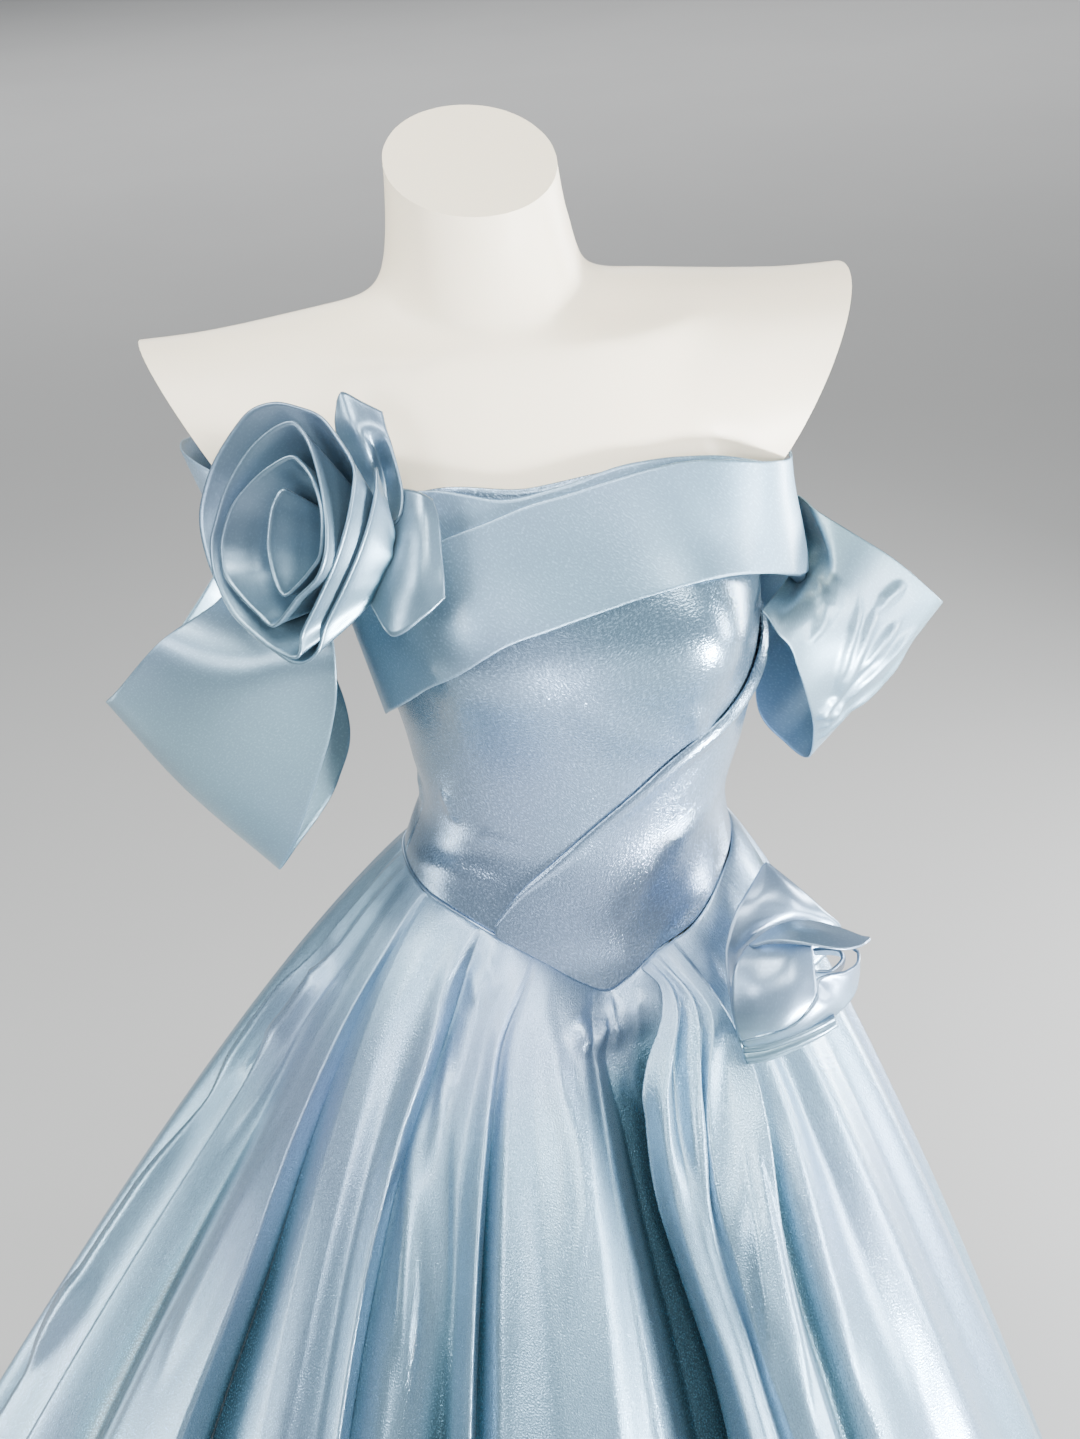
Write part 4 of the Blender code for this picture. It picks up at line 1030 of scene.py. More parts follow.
def band_sheet(table, columns, rows):
    angle = np.linspace(table[0][0], table[-1][0], columns + 1)
    top, low, out_top, out_low = [along(angle, table, k)[:, None] for k in (1, 2, 3, 4)]
    share = np.linspace(0, 1, rows + 1)
    height = low + (top - low) * share
    return body(angle[:, None] + 0 * height, height, out_low + (out_top - out_low) * share)


under_band = cloth("band_under_cloth", band_sheet(UNDER_BAND, 150, 30))
over_band = cloth("band_over_cloth", band_sheet(OVER_BAND, 170, 44))
back_band = cloth("band_back_cloth", band_sheet(BACK_BAND, 130, 34))

# %% The turned roll at the upper band's end
ROLL_DROP = 0.0085
ROLL_ANGLE = 79
ROLL_WIDE = 6.5
# Across the roll: share of its drop, then how far it lies above and inside the band's lower edge.
ROLL = [(0, 0.003, 0.0026), (0.6, 0, 0.0024), (1, 0, 0.0060), (0.4, 0, 0.0110), (0, 0.004, 0.0120)]
turns = np.linspace(66, 86, 40)
low, out = along(turns, OVER_BAND, 2), along(turns, OVER_BAND, 4)
drop = ROLL_DROP * bump(turns - ROLL_ANGLE, ROLL_WIDE)
turned_under = [body(turns, low - drop * share + above, out - inside) for share, above, inside in ROLL]
band_roll = cloth("band_over_roll", smooth_net(np.stack(turned_under, 1), 60, 24))
dress_sheet(band_roll, "band_satin", "folded", ["band_over_cloth"])
dress_sheet(under_band, "band_satin", "folded", ["bodice_front_cloth"], "band_under")
dress_sheet(over_band, "band_satin", "folded", ["band_under_cloth"], "band_over")
dress_sheet(back_band, "band_satin", "folded", ["bodice_back_left_cloth"], "band_back")

# %% [markdown]
# ## The sleeve loops
#
# Each sleeve is an open loop: a wide strip whose two ends are sewn under a band, so it hangs
# over the arm like a scarf. At the right arm the strip is smooth and comes to a soft point.
# At the left arm it is pleated where it is sewn on, and the pleats fan out to the free end.
# Simulated cloth would slide off an arm that isn't there. A net of three lines, its upper
# edge, its middle and its lower edge, holds the loop where it was arranged.

# %% Nets of the sleeve loops
# Sleeve loops: one row per section along the strip, its upper edge, middle and lower edge.
# Where a loop is sewn to a band the row gives three angles on the band's lower edge.
RIGHT_ARM_FRONT_SEAM = (-86, -74, -62)
RIGHT_ARM_BACK_SEAM = (-95, -103, -112)
RIGHT_ARM_LOOP = [
    ((-0.213, -0.050, 1.248), (-0.186, -0.084, 1.234), (-0.153, -0.102, 1.222)),
    ((-0.250, -0.066, 1.233), (-0.208, -0.089, 1.205), (-0.160, -0.091, 1.172)),
    ((-0.280, -0.052, 1.199), (-0.239, -0.069, 1.150), (-0.187, -0.065, 1.090)),
    ((-0.289, -0.033, 1.184), (-0.250, -0.040, 1.121), (-0.200, -0.037, 1.053)),
    ((-0.281, -0.012, 1.181), (-0.241, -0.012, 1.119), (-0.189, -0.012, 1.051)),
    ((-0.252, 0.006, 1.195), (-0.208, 0.012, 1.145), (-0.154, 0.010, 1.086)),
    ((-0.226, 0.014, 1.222), (-0.186, 0.026, 1.184), (-0.144, 0.024, 1.138)),
]
LEFT_ARM_BACK_SEAM = (97, 106, 116)
LEFT_ARM_LOOP = [
    ((0.1495, 0.006, 1.239), (0.1522, -0.004, 1.202), (0.109, -0.079, 1.206)),
    ((0.1540, 0.004, 1.245), (0.1602, -0.006, 1.203), (0.112, -0.084, 1.202)),
    ((0.1570, -0.008, 1.246), (0.1619, -0.028, 1.2145), (0.116, -0.088, 1.194)),
    ((0.162, -0.022, 1.242), (0.161, -0.050, 1.209), (0.124, -0.086, 1.183)),
    ((0.181, -0.033, 1.229), (0.165, -0.060, 1.192), (0.131, -0.079, 1.164)),
    ((0.210, -0.031, 1.2056), (0.1815, -0.055, 1.165), (0.141, -0.066, 1.136)),
    ((0.242, -0.022, 1.172), (0.200, -0.037, 1.134), (0.151, -0.046, 1.104)),
    ((0.250, -0.004, 1.160), (0.206, -0.013, 1.115), (0.155, -0.022, 1.069)),
    ((0.241, 0.014, 1.156), (0.198, 0.011, 1.111), (0.147, 0.004, 1.068)),
    ((0.206, 0.028, 1.178), (0.172, 0.030, 1.132), (0.134, 0.024, 1.086)),
    ((0.176, 0.034, 1.200), (0.154, 0.040, 1.166), (0.136, 0.040, 1.132)),
]
print("sections of the loops:", len(RIGHT_ARM_LOOP), "and", len(LEFT_ARM_LOOP))

# %% Sleeve loops
SLEEVE_CREASES = [
    ("round", 4, 2.5, [(181, -50, 1199), (178, -56, 1187), (173, -60, 1176), (168, -62, 1162),
        (164, -60, 1145), (160, -54, 1126)]),
    ("round", 5, 3.7, [(198, -42, 1191), (190, -50, 1180), (182, -55, 1170), (176, -57, 1157),
        (170, -55, 1140), (164, -50, 1122), (158, -48, 1113)]),
    ("round", 4, 3.1, [(220, -31, 1191), (209, -37, 1188), (199, -43, 1185), (190, -50, 1178)]),
    ("round", 4, 3.1, [(216, -35, 1171), (205, -42, 1165), (194, -48, 1158), (182, -52, 1145),
        (172, -52, 1134)]),
    ("round", 4, 1.9, [(213, -37, 1167), (204, -42, 1161), (196, -46, 1152), (189, -46, 1139)]),
    ("round", 5, 4.3, [(236, -23, 1159), (218, -33, 1152), (200, -41, 1143), (183, -46, 1131),
        (169, -45, 1116), (159, -44, 1106)]),
    ("round", 5, 3.7, [(229, -19, 1144), (217, -22, 1132), (204, -22, 1117), (186, -30, 1109),
        (167, -36, 1100)]),
    ("round", 5, 2, [(154, -44, 1209), (152, -62, 1200), (151, -68, 1189), (142, -74, 1181),
        (134, -79, 1180)]),
    ("round", 6, 1.5, [(162, -47, 1213), (160, -60, 1198), (156, -67, 1184)]),
    ("sharp", 4, 3, [(149, -53, 1115), (162, -46, 1112), (169, -46, 1119)]),
    ("sharp", 4, 4, [(155, -35, 1085), (164, -36, 1096), (179, -35, 1109)]),
    ("sharp", 4, 4, [(152, -43, 1097), (161, -42, 1105), (173, -45, 1120)]),
    ("sharp", 4, 4, [(150, -50, 1110), (156, -51, 1117), (165, -53, 1129)]),
]


def seam_row(band, angles):
    """Three points just under a band's lower edge, where a sleeve loop is sewn on."""
    rows = []
    for turn in angles:
        height = float(along(turn, band, 2)) - CLOTH / 2 - SEAM_GAP
        rows.append(tuple(body(turn, height, float(along(turn, band, 4)))))
    return rows


right_net = [seam_row(UNDER_BAND, RIGHT_ARM_FRONT_SEAM), *RIGHT_ARM_LOOP,
             seam_row(UNDER_BAND, RIGHT_ARM_BACK_SEAM)]
left_net = [*LEFT_ARM_LOOP, seam_row(BACK_BAND, LEFT_ARM_BACK_SEAM)]
right_sleeve = cloth("sleeve_right_cloth", smooth_net(right_net, 130, 70))
left_points = creased(smooth_net(left_net, 190, 100), SLEEVE_CREASES, out=-1)
left_sleeve = cloth("sleeve_left_cloth", left_points)
dress_sheet(right_sleeve, "sleeve_satin", "hung", ["band_under_cloth"], "sleeve_right")
dress_sheet(left_sleeve, "sleeve_satin", "gathered", ["band_over_cloth"], "sleeve_left")

# %% [markdown]
# ## The folds of the skirt
#
# Every fold of the skirt is one row of a table: where its crest or hollow runs at several
# heights, and how far it stands out. A cloth simulation gives lively folds, but it can't be
# told where they fall. A table can, and one row moves one fold. The back is plain, so its folds
# share one curve of growth from the waist to the hem.

# %% Folds of the front
# Skirt folds. Each line runs down the skirt: (share of the way down, angle, height in mm).
# A pointed line is a crease; the others are round.
FRONT_FOLDS = [
    ("side seam", 0, [(0, -95, 1), (0.1, -98, -6), (0.3, -103, -12), (1, -106, -35)]),
    ("gloss one", 1, [(0, -91, 2), (0.1, -93, 8), (0.3, -99, 14), (1, -101, 35)]),
    ("hollow one", 0, [(0, -87, 1), (0.1, -88, -2), (0.3, -94, -6), (1, -96, -25)]),
    ("gloss two", 1, [(0, -83, 2), (0.1, -84, 8), (0.3, -88, 14), (1, -90, 35)]),
    ("hollow two", 0, [(0, -79, 1), (0.1, -79, -4), (0.3, -81, -10), (1, -83, -30)]),
    ("ridge", 0, [(0, -73, 2), (0.1, -72, 4), (0.3, -73, 10), (1, -75, 30)]),
    ("pleat one", 1, [(0, -66.5, 3), (0.03, -65.8, 5), (0.06, -66, 7), (0.124, -65, 10),
                      (0.21, -62.8, 13), (0.3, -62.5, 16), (1, -65, 38)]),
    ("pleat one under", 0, [(0, -65.4, 0.6), (0.06, -64, -3), (0.124, -62.8, -8),
                            (0.21, -60.3, -10), (0.3, -59.8, -12), (1, -61.8, -30)]),
    ("pleat one inner", 1, [(0, -63.5, 1.2), (0.06, -60.5, 4), (0.1, -58.6, 5),
                            (0.15, -56.6, 6), (0.2, -55, 6), (0.3, -52.4, 6), (1, -54.5, 8)]),
    ("panel two", 0, [(0, -56, 1.5), (0.06, -56.5, 5), (0.1, -54, 6), (0.2, -50.5, 9),
                      (0.3, -48.6, 11), (1, -50, 32)]),
    ("hollow three", 0, [(0, -50, 1), (0.1, -49.8, 0), (0.3, -45.5, 2), (1, -46, 10)]),
    ("pleat two", 1, [(0, -43, 2.5), (0.026, -45, 6), (0.05, -43.5, 9), (0.1, -44, 12),
                      (0.17, -43.6, 13), (0.3, -41.4, 15), (1, -41, 36)]),
    ("pleat two under", 0, [(0, -41.5, 0.6), (0.026, -42.3, -8), (0.05, -41, -10),
                            (0.1, -41.8, -6), (0.2, -41.2, -6), (0.3, -39.6, -6), (1, -39.2, -14)]),
    ("panel three", 0, [(0, -36, 1.5), (0.05, -36, 2), (0.1, -38.2, 4), (0.2, -37.5, 8),
                        (0.3, -36.4, 10), (1, -35, 26)]),
    ("valley three", 0, [(0, -31.5, 0.8), (0.05, -33, 1), (0.1, -33.6, 0), (0.175, -32.4, -6),
                         (0.3, -30.8, -12), (1, -28.5, -34)]),
    ("pleat three", 1, [(0, -24.5, 2.5), (0.033, -29, 6), (0.07, -29.2, 9), (0.1, -28.7, 10),
                        (0.175, -27.4, 12), (0.25, -26.2, 13), (1, -21.5, 34)]),
    ("pleat three under", 0, [(0, -23.2, 0.8), (0.033, -26.8, -2), (0.07, -26.9, -4),
                              (0.1, -26.6, -5), (0.175, -25.5, -6), (0.25, -24.4, -7),
                              (1, -19.8, -14)]),
    ("pleat three inner", 0, [(0, -21.8, 1.2), (0.033, -24.8, 2.4), (0.07, -24.8, 5.5),
                              (0.1, -24.2, 8), (0.175, -23, 11), (0.25, -22, 12), (1, -17.2, 26)]),
    ("centre panel", 0, [(0, -17, 1.5), (0.03, -19.5, 5), (0.1, -18, 14), (0.2, -15, 19),
                         (0.3, -14, 21), (1, -11, 38)]),
    ("gather", 0, [(0, -9, 2.5), (0.02, -10, 6), (0.04, -10, 5), (0.1, -9.5, 13),
                   (0.3, -8, 17), (1, -5, 30)]),
    ("gather hollow", 0, [(0, -4, 0.8), (0.02, -6.5, -1), (0.05, -6, -2), (0.1, -5.2, 2),
                          (0.2, -3.6, 2), (0.3, -2.4, 2), (1, 0.5, 4)]),
    ("deep hollow", 0, [(0, 4, 0.8), (0.03, -2.5, -8), (0.077, -1, -18), (0.14, 1, -26),
                        (0.2, 3, -32), (0.3, 4.5, -36), (1, 6, -55)]),
    ("under the overskirt", 0, [(0, 14, 0.8), (0.03, 9, -12), (0.1, 8, -24), (0.3, 11, -36),
                                (1, 13, -56)]),
    ("under edge", 0, [(0, 26, 0.6), (0.03, 22, -9), (0.1, 20, -20), (0.3, 20, -32),
                       (1, 23, -52)]),
]
print("fold lines in the front:", len(FRONT_FOLDS))

# %% Folds of the overskirt and the back
OVERSKIRT_FOLDS = [
    ("free edge", 0, [(0, 14, 4), (0.012, 16.5, 8), (0.02, 13, 14), (0.028, 7.5, 18),
                      (0.04, 3.8, 20), (0.06, 3, 15), (0.1, 2.6, 5), (0.15, 4.6, -6),
                      (0.21, 7, -10), (0.3, 7.8, -12), (0.6, 9.8, -16), (1, 12.5, -20)]),
    ("rolled crest", 0, [(0, 16, 4), (0.012, 18.5, 12), (0.02, 16.5, 20), (0.028, 12, 26),
                         (0.04, 8, 30), (0.06, 6.1, 29), (0.1, 5.4, 25), (0.2, 8.2, 24),
                         (0.3, 9.4, 26), (0.6, 12.5, 34), (1, 17, 42)]),
    ("roll under", 0, [(0, 17.6, 3.4), (0.02, 20, 8), (0.04, 13.5, 12), (0.06, 10.5, 14),
                       (0.1, 8.8, 19), (0.2, 10.2, 22), (0.3, 11.4, 24), (1, 20, 32)]),
    ("knot fold", 0, [(0, 19.2, 4), (0.02, 22.5, 14), (0.05, 16.4, 22), (0.08, 12.5, 22),
                      (0.1, 11, 20), (0.2, 11.6, 20), (0.3, 12.9, 21), (1, 23, 30)]),
    ("teal hollow", 0, [(0, 20.8, 3.4), (0.03, 23, 11), (0.06, 17.4, 12), (0.1, 12.4, 11),
                        (0.156, 12.1, 12), (0.3, 14.1, 14), (1, 25.5, 20)]),
    ("left leg", 1, [(0, 22.4, 4), (0.033, 24.8, 18), (0.052, 19.8, 19), (0.075, 15.8, 19),
                     (0.104, 13.7, 20), (0.156, 13.3, 20), (0.3, 15.4, 25), (1, 29, 38)]),
    ("between the legs", 0, [(0, 24.2, 4), (0.033, 26.5, 18), (0.06, 24, 13.5), (0.1, 19.5, 18),
                             (0.156, 17, 25), (0.3, 17.8, 31), (1, 33, 48)]),
    ("right leg", 1, [(0, 26, 4), (0.033, 28.2, 18), (0.051, 28.6, 19), (0.072, 28.6, 19),
                      (0.094, 27, 20), (0.15, 22, 22), (0.2, 20, 24), (0.275, 19.6, 27),
                      (1, 37, 42)]),
    ("right leg under", 0, [(0, 28, 3.4), (0.05, 31.4, 6), (0.1, 30, 3), (0.15, 26, -1),
                            (0.2, 24, 0), (0.275, 23.6, 0), (1, 42, 4)]),
    ("crest two", 0, [(0, 32, 4), (0.05, 35, 7), (0.1, 34, 9), (0.2, 29, 10), (0.3, 28, 13),
                      (1, 48, 28)]),
    ("soft hollow", 0, [(0, 38, 3.4), (0.09, 40.5, -1), (0.156, 39.5, -2), (0.21, 38.5, 0),
                        (0.3, 38, 2), (1, 56, 6)]),
    ("crest three", 0, [(0, 46, 4), (0.1, 46, 7), (0.2, 45, 11), (0.3, 44, 14), (1, 62, 28)]),
    ("hollow four", 0, [(0, 54, 3.4), (0.1, 55, 2), (0.3, 53, 3), (1, 69, 2)]),
    ("crest four", 0, [(0, 63, 4), (0.1, 64, 9), (0.2, 62, 12), (0.3, 61, 14), (1, 76, 26)]),
    ("hollow five", 0, [(0, 76, 3.4), (0.1, 77, 0), (0.3, 75, -4), (1, 83, -14)]),
    ("side seam", 0, [(0, 90, 3.4), (0.1, 90, -6), (0.3, 89, -20), (1, 91, -40)]),
]
# Folds at the sides and the back: angle at the waist, angle at the hem, height in mm.
BACK_FOLDS = [
    (98, 99, 34), (104, 105, -26), (112, 111, 40), (118, 117.5, -34),
    (125, 124, 33), (131, 130, -24), (139, 138, 42), (145, 145, -36), (152, 151, 30),
    (158, 158, -28), (166, 165, 38), (173, 172, -30), (180, 180, -34), (187, 188, 36),
    (193, 194, -30), (201, 201, 42), (207, 208, -26), (214, 214, 30), (220, 220, -36),
    (228, 227, 40), (234, 233, -28), (241, 239, 34), (248, 244, -34), (256, 248, 38),
]
# How a back fold's height grows from the waist to the hem.
BACK_GROWTH = [(0, 0.03), (0.1, 0.22), (0.3, 0.45), (1, 1.0)]
CENTRE_BACK = 13          # number of the line where the two back panels are sewn
print("fold lines in the overskirt and the back:", len(OVERSKIRT_FOLDS), "and", len(BACK_FOLDS))

# %% [markdown]
# ## The skirt
#
# The skirt's surface is a cone that swells below the waist, and the fold lines push it out and
# in. Between two lines the cloth follows a smooth curve, and a pointed line keeps a pressed
# edge. A few hollows are tucked under the pleat beside them near the waist.

# %% The skirt's surface
SKIRT_DROP = 0.0011
HEM_HEIGHT = 0.005
# The skirt's mean radius at the floor; the gown is fuller at the wearer's right and back.
HEM_RADIUS = [(-180, 0.76), (-150, 0.80), (-117, 0.77), (-60, 0.70), (0, 0.62),
              (45, 0.53), (62, 0.49), (80, 0.46), (100, 0.47), (120, 0.53), (150, 0.64),
              (180, 0.76)]
# How the skirt springs out under the waist: below 1 it swells at once, at 1 it is a cone.
SKIRT_SWELL = [(-180, 0.88), (-110, 0.885), (-70, 0.84), (0, 0.82), (70, 0.80), (110, 0.84),
               (180, 0.88)]


def fold_lines():
    """All lines of the main skirt, from the wearer's left side round the back to the front."""
    lines = [OVERSKIRT_FOLDS[-1]]
    for at_waist, at_hem, height in BACK_FOLDS:
        run = []
        for down, growth in BACK_GROWTH:
            turn = at_waist + (at_hem - at_waist) * down ** 0.6
            run.append((down, turn, 1 + (height - 1) * growth))
        lines.append(("back", 0, run))
    for name, pointed, run in FRONT_FOLDS:
        lines.append((name, pointed, [(down, turn + 360, height) for down, turn, height in run]))
    return lines


def skirt_surface(angle, down, height):
    """Point on the skirt at an angle and a share of the way down, raised by height."""
    top = waist(angle) - SKIRT_DROP
    start = body(angle, top, FORM_GAP)
    level = top + (HEM_HEIGHT - top) * down
    turn = np.radians(angle)
    middle = along(top, TORSO, 1)
    first = np.hypot(start[..., 0] - middle, start[..., 1])
    last = along(half_turn(angle), HEM_RADIUS, 1)
    swell = along(half_turn(angle), SKIRT_SWELL, 1)
    radius = first + (last - first) * down ** swell + height
    return np.stack([middle + radius * np.sin(turn), -radius * np.cos(turn), level], -1)


lines = fold_lines()
hem = skirt_surface(np.linspace(-180, 180, 721), 1.0, 0.0)
print(f"hem without its folds: {np.linalg.norm(np.diff(hem, axis=0), axis=1).sum():.2f} m round")

# %% Pleating a panel
ROWS = 120
ROW_BIAS = 1.45           # above 1 the rows are closer together at the waist
SHALLOW = 0.024           # a fold less deep than this gets only part of a hollow's painted shade
TUCKED = {"pleat one under": 2.6, "pleat two under": 2.6, "pleat three under": 2.4}


def between_lines(start, end, f, pointed_start, pointed_end):
    """Height a share f of the way between two fold lines."""
    shape = (3 * f**2 - 2 * f**3) + pointed_start * (f**3 - 2 * f**2 + f) + pointed_end * (f**3 - f**2)
    return start + (end - start) * shape


def fold_shade(height, reach):
    """How much painted shade each point gets, by how deep in its fold it lies: 0 on the crest beside it, 1
    in the hollow.
    """
    beside = [np.roll(height, s, 0) for s in range(-reach, reach + 1)]
    low, high = np.minimum.reduce(beside), np.maximum.reduce(beside)
    return (high - height) / np.maximum(high - low, SHALLOW)


def pleated(lines, between, trim):
    """A skirt panel through its fold lines: the painted shade and the points of its sheet."""
    down = np.linspace(0, 1, ROWS + 1) ** ROW_BIAS
    turns, heights = [], []
    for name, _, run in lines:
        tuck = TUCKED.get(name, 0) * ease(down, 0.01, 0.06)
        turns.append(along(down, run, 1) - tuck)
        heights.append(along(down, run, 2) / 1000)
    angle, height = [], []
    for k in range(len(lines) - 1):
        last_pair = k == len(lines) - 2
        for step in range(between + last_pair):
            f = step / between
            angle.append(turns[k] + (turns[k + 1] - turns[k]) * f)
            height.append(between_lines(heights[k], heights[k + 1], f, lines[k][1], lines[k + 1][1]))
    angle, height = np.array(angle), np.array(height)
    angle[0] += trim[0]
    angle[-1] -= trim[1]
    down = down[None, :] + 0 * angle
    return fold_shade(height, 2 * between), skirt_surface(angle, down, height)


first_depth, _ = pleated(lines[:4], 4, (0, 0))
print(f"deepest point of the first back folds: {first_depth.max():.2f}")

# %% Panels of the skirt
SKIRT_CREASES = [
    ("sharp", 9, 9, [(-157, 8, 986), (-168, 5, 977), (-185, -22, 954), (-209, -24, 924),
        (-235, 1, 877), (-260, 18, 855)]),
    ("sharp", 10, 9, [(-260, 18, 855), (-281, 28, 827), (-301, 35, 796), (-343, 51, 731),
        (-399, 72, 644), (-451, 90, 559)]),
    ("sharp", 9, 8, [(-176, 6, 967), (-212, 11, 922), (-246, 18, 877), (-276, 26, 834)]),
    ("round", 8, 5, [(-365, 52, 689), (-422, 80, 607), (-451, 90, 559)]),
    ("sharp", 9, 6, [(-153, -23, 989), (-173, -38, 959), (-203, -36, 916), (-233, -35, 875),
        (-270, -30, 829)]),
    ("round", 12, 3, [(-208, -82, 905), (-248, -90, 846), (-290, -102, 780), (-334, -118, 708)]),
    ("sharp", 4, 2.2, [(-90, -89, 995), (-90, -101, 985), (-86, -114, 974)]),
    ("sharp", 4, 1.8, [(-80, -90, 1002), (-78, -102, 991), (-77, -112, 979)]),
    ("sharp", 5, 5, [(-27, -119, 964), (-27, -128, 953), (-24, -133, 940)]),
    ("sharp", 5, 5, [(-9, -112, 955), (-15, -121, 946), (-22, -132, 939)]),
    ("sharp", 6, 5, [(-3, -103, 964), (-5, -113, 950), (-2, -122, 932)]),
    ("sharp", 6, 4, [(16, -106, 968), (12, -112, 954), (12, -119, 935)]),
    ("round", 9, 3, [(-45, -105, 984), (-48, -123, 965), (-47, -152, 929), (-43, -171, 905),
        (-46, -197, 872), (-59, -221, 841), (-69, -243, 808)]),
    ("round", 12, 2.2, [(-65, -120, 967), (-79, -153, 923), (-92, -189, 868), (-103, -222, 811),
        (-114, -253, 755)]),
    ("round", 7, 4, [(-111, -111, 954), (-129, -130, 924), (-143, -150, 895), (-155, -183, 853),
        (-164, -211, 807), (-174, -237, 755)]),
    ("step", 10, 3, [(-105, -101, 977), (-112, -122, 946), (-120, -147, 921), (-131, -185, 849),
        (-145, -238, 753)]),
]
first_front = len(BACK_FOLDS) + 1
PANELS = [
    ("skirt_back_left", 0, CENTRE_BACK, (0.3, 0.12), 10, []),
    ("skirt_back_right", CENTRE_BACK, first_front, (0.12, 0.05), 10, []),
    ("skirt_front", first_front, len(lines) - 1, (0.2, 0.0), 16, SKIRT_CREASES),
]
for name, first, last, trim, between, creases in PANELS:
    painted_shade, points = pleated(lines[first:last + 1], between, trim)
    if creases:
        points = creased(points, creases, out=-1)
    panel = cloth(name + "_cloth", points, painted_shade)
    dress_sheet(panel, "skirt_satin", "gathered", ["bodice_front_cloth"], name)

# %% Overskirt
OVERSKIRT_CREASES = [
    ("sharp", 7, 4, [(36, -150, 941), (31, -206, 859), (36, -230, 819)]),
    ("sharp", 8, 4.5, [(62, -176, 896), (59, -201, 864), (59, -239, 806), (58, -266, 739)]),
    ("step", 12, 5, [(71, -179, 891), (70, -210, 848), (72, -237, 805), (77, -261, 765),
        (79, -280, 733)]),
    ("round", 12, 3.5, [(84, -151, 902), (94, -176, 857), (105, -209, 800), (114, -237, 743),
        (120, -253, 710)]),
    ("round", 14, 3.5, [(110, -131, 903), (126, -151, 854), (140, -172, 807), (156, -201, 738),
        (168, -235, 666)]),
]
painted_shade, points = pleated(OVERSKIRT_FOLDS, 16, (0, 0.1))
overskirt = cloth("skirt_over_cloth", creased(points, OVERSKIRT_CREASES, out=-1), painted_shade)
dress_sheet(overskirt, "skirt_satin", "gathered", ["skirt_front_cloth"], "skirt_over")

# %% [markdown]
# ## The flowers
#
# Each flower is a long strip folded in half along its length and wound in a spiral. The fold
# becomes the rim of the petals and the raw edges are sewn together at the base. Copies of one
# petal set in rings would look like a button, because a wound strip never repeats. So the rim is
# one long line that runs round and round, and the strip closes from it to a small
# gathered base. Single leaves of folded cloth are tucked in beside it.

# %% The shoulder rose
# Its middle, the way it faces and its depth; then the rim of its strip, in millimetres across,
# up and forward from that middle. The rim's points were picked by eye, and a helper script that
# isn't kept turned them into these millimetres.
SHOULDER_ROSE = ((-0.182, -0.1334, 1.3106), (-0.56, -0.76, 0.33), 0.044)
ROSE_RIM = [
    (-4, 2, -26), (1, 13, -20), (5, 24, -10), (5, 31, -2), (0, 21, 0), (-1, 6, 1), (0, -5, 1),
    (4, -18, 0), (10, -26, -1), (18, -20, -1), (26, -11, 0), (32, -2, 1), (33, 12, 2), (31, 25, 2),
    (25, 38, 2), (17, 46, 1), (9, 49, 0), (-4, 42, -1), (-16, 32, -2), (-27, 18, -2), (-32, 2, -2),
    (-32, -9, -2), (-28, -21, -2), (-17, -31, -2), (-7, -38, -2), (3, -44, -3), (12, -35, -2),
    (19, -26, -1), (30, -15, 0), (35, -2, 1), (35, 12, 1), (32, 28, 1), (27, 42, 0), (20, 56, -1),
    (12, 65, -2), (5, 67, -3), (-8, 61, -5), (-22, 48, -6), (-34, 28, -6), (-40, 8, -6),
    (-42, -5, -6), (-38, -22, -6), (-26, -40, -6), (-11, -51, -7), (3, -58, -8), (16, -60, -9),
    (18, -47, -9), (27, -28, -8), (37, -5, -7), (43, 18, -7), (44, 36, -9), (42, 47, -11),
    (32, 59, -12), (19, 71, -12), (4, 75, -12), (-10, 76, -12), (-25, 71, -13), (-36, 60, -14),
    (-49, 40, -15), (-55, 21, -15), (-56, 7, -15), (-52, -8, -15), (-44, -24, -15), (-33, -38, -15),
    (-20, -51, -16), (-5, -59, -17), (10, -65, -18), (21, -59, -20), (26, -42, -20), (36, -21, -19),
    (44, -1, -19), (49, 18, -20), (50, 35, -23), (47, 46, -27),
]
ROSE_CLOTH = 0.0020       # folded double
CRIMP = 0.0007
BASE_ACROSS, BASE_UP = 0.034, -0.006      # where the base lies under the rim's middle


def fine_line(points, count):
    """Carry a smooth curve through points and read it at even steps."""
    table = [(k, *p) for k, p in enumerate(points)]
    where = np.linspace(0, len(points) - 1, count)
    return np.stack([along(where, table, 1 + c) for c in range(len(points[0]))], -1)


def wound_strip(spec, rim, count, rows):
    """A strip that stands on its gathered base and opens towards its folded rim."""
    middle, facing, deep = spec
    facing = unit(np.array(facing))
    up = unit(np.array((0.0, 0.0, 1.0)) - facing * facing[2])
    across = np.cross(up, facing)
    edge = fine_line(rim, count)[:, None] / 1000
    share = np.linspace(0, 1, rows + 1)[None, :]
    way = np.linspace(0, 1, count)[:, None]
    opening = 0.34 + 0.66 * share ** 0.9 + 0.02 * np.sin(np.pi * share)
    crimp = CRIMP * np.sin(way * 210) * (1 - share) ** 1.5
    lean = (1 - share) ** 1.2
    a = edge[..., 0] * opening + crimp + BASE_ACROSS * lean
    b = edge[..., 1] * opening + crimp + BASE_UP * lean
    lift = -deep * (1 - share) + edge[..., 2] * share
    # Painted shade: darkest at the gathered base deep inside the flower, none at its rim.
    painted_shade = (1 - share) * 0.9 + 0 * a
    return painted_shade, (np.array(middle) + a[..., None] * across + b[..., None] * up
                   + lift[..., None] * facing)


painted_shade, points = wound_strip(SHOULDER_ROSE, ROSE_RIM, 520, 30)
shoulder_rose = cloth("rose_shoulder_cloth", points, painted_shade, thick=ROSE_CLOTH)
dress_sheet(shoulder_rose, "flower_satin", "folded", ["band_under_cloth"], "rose_shoulder")

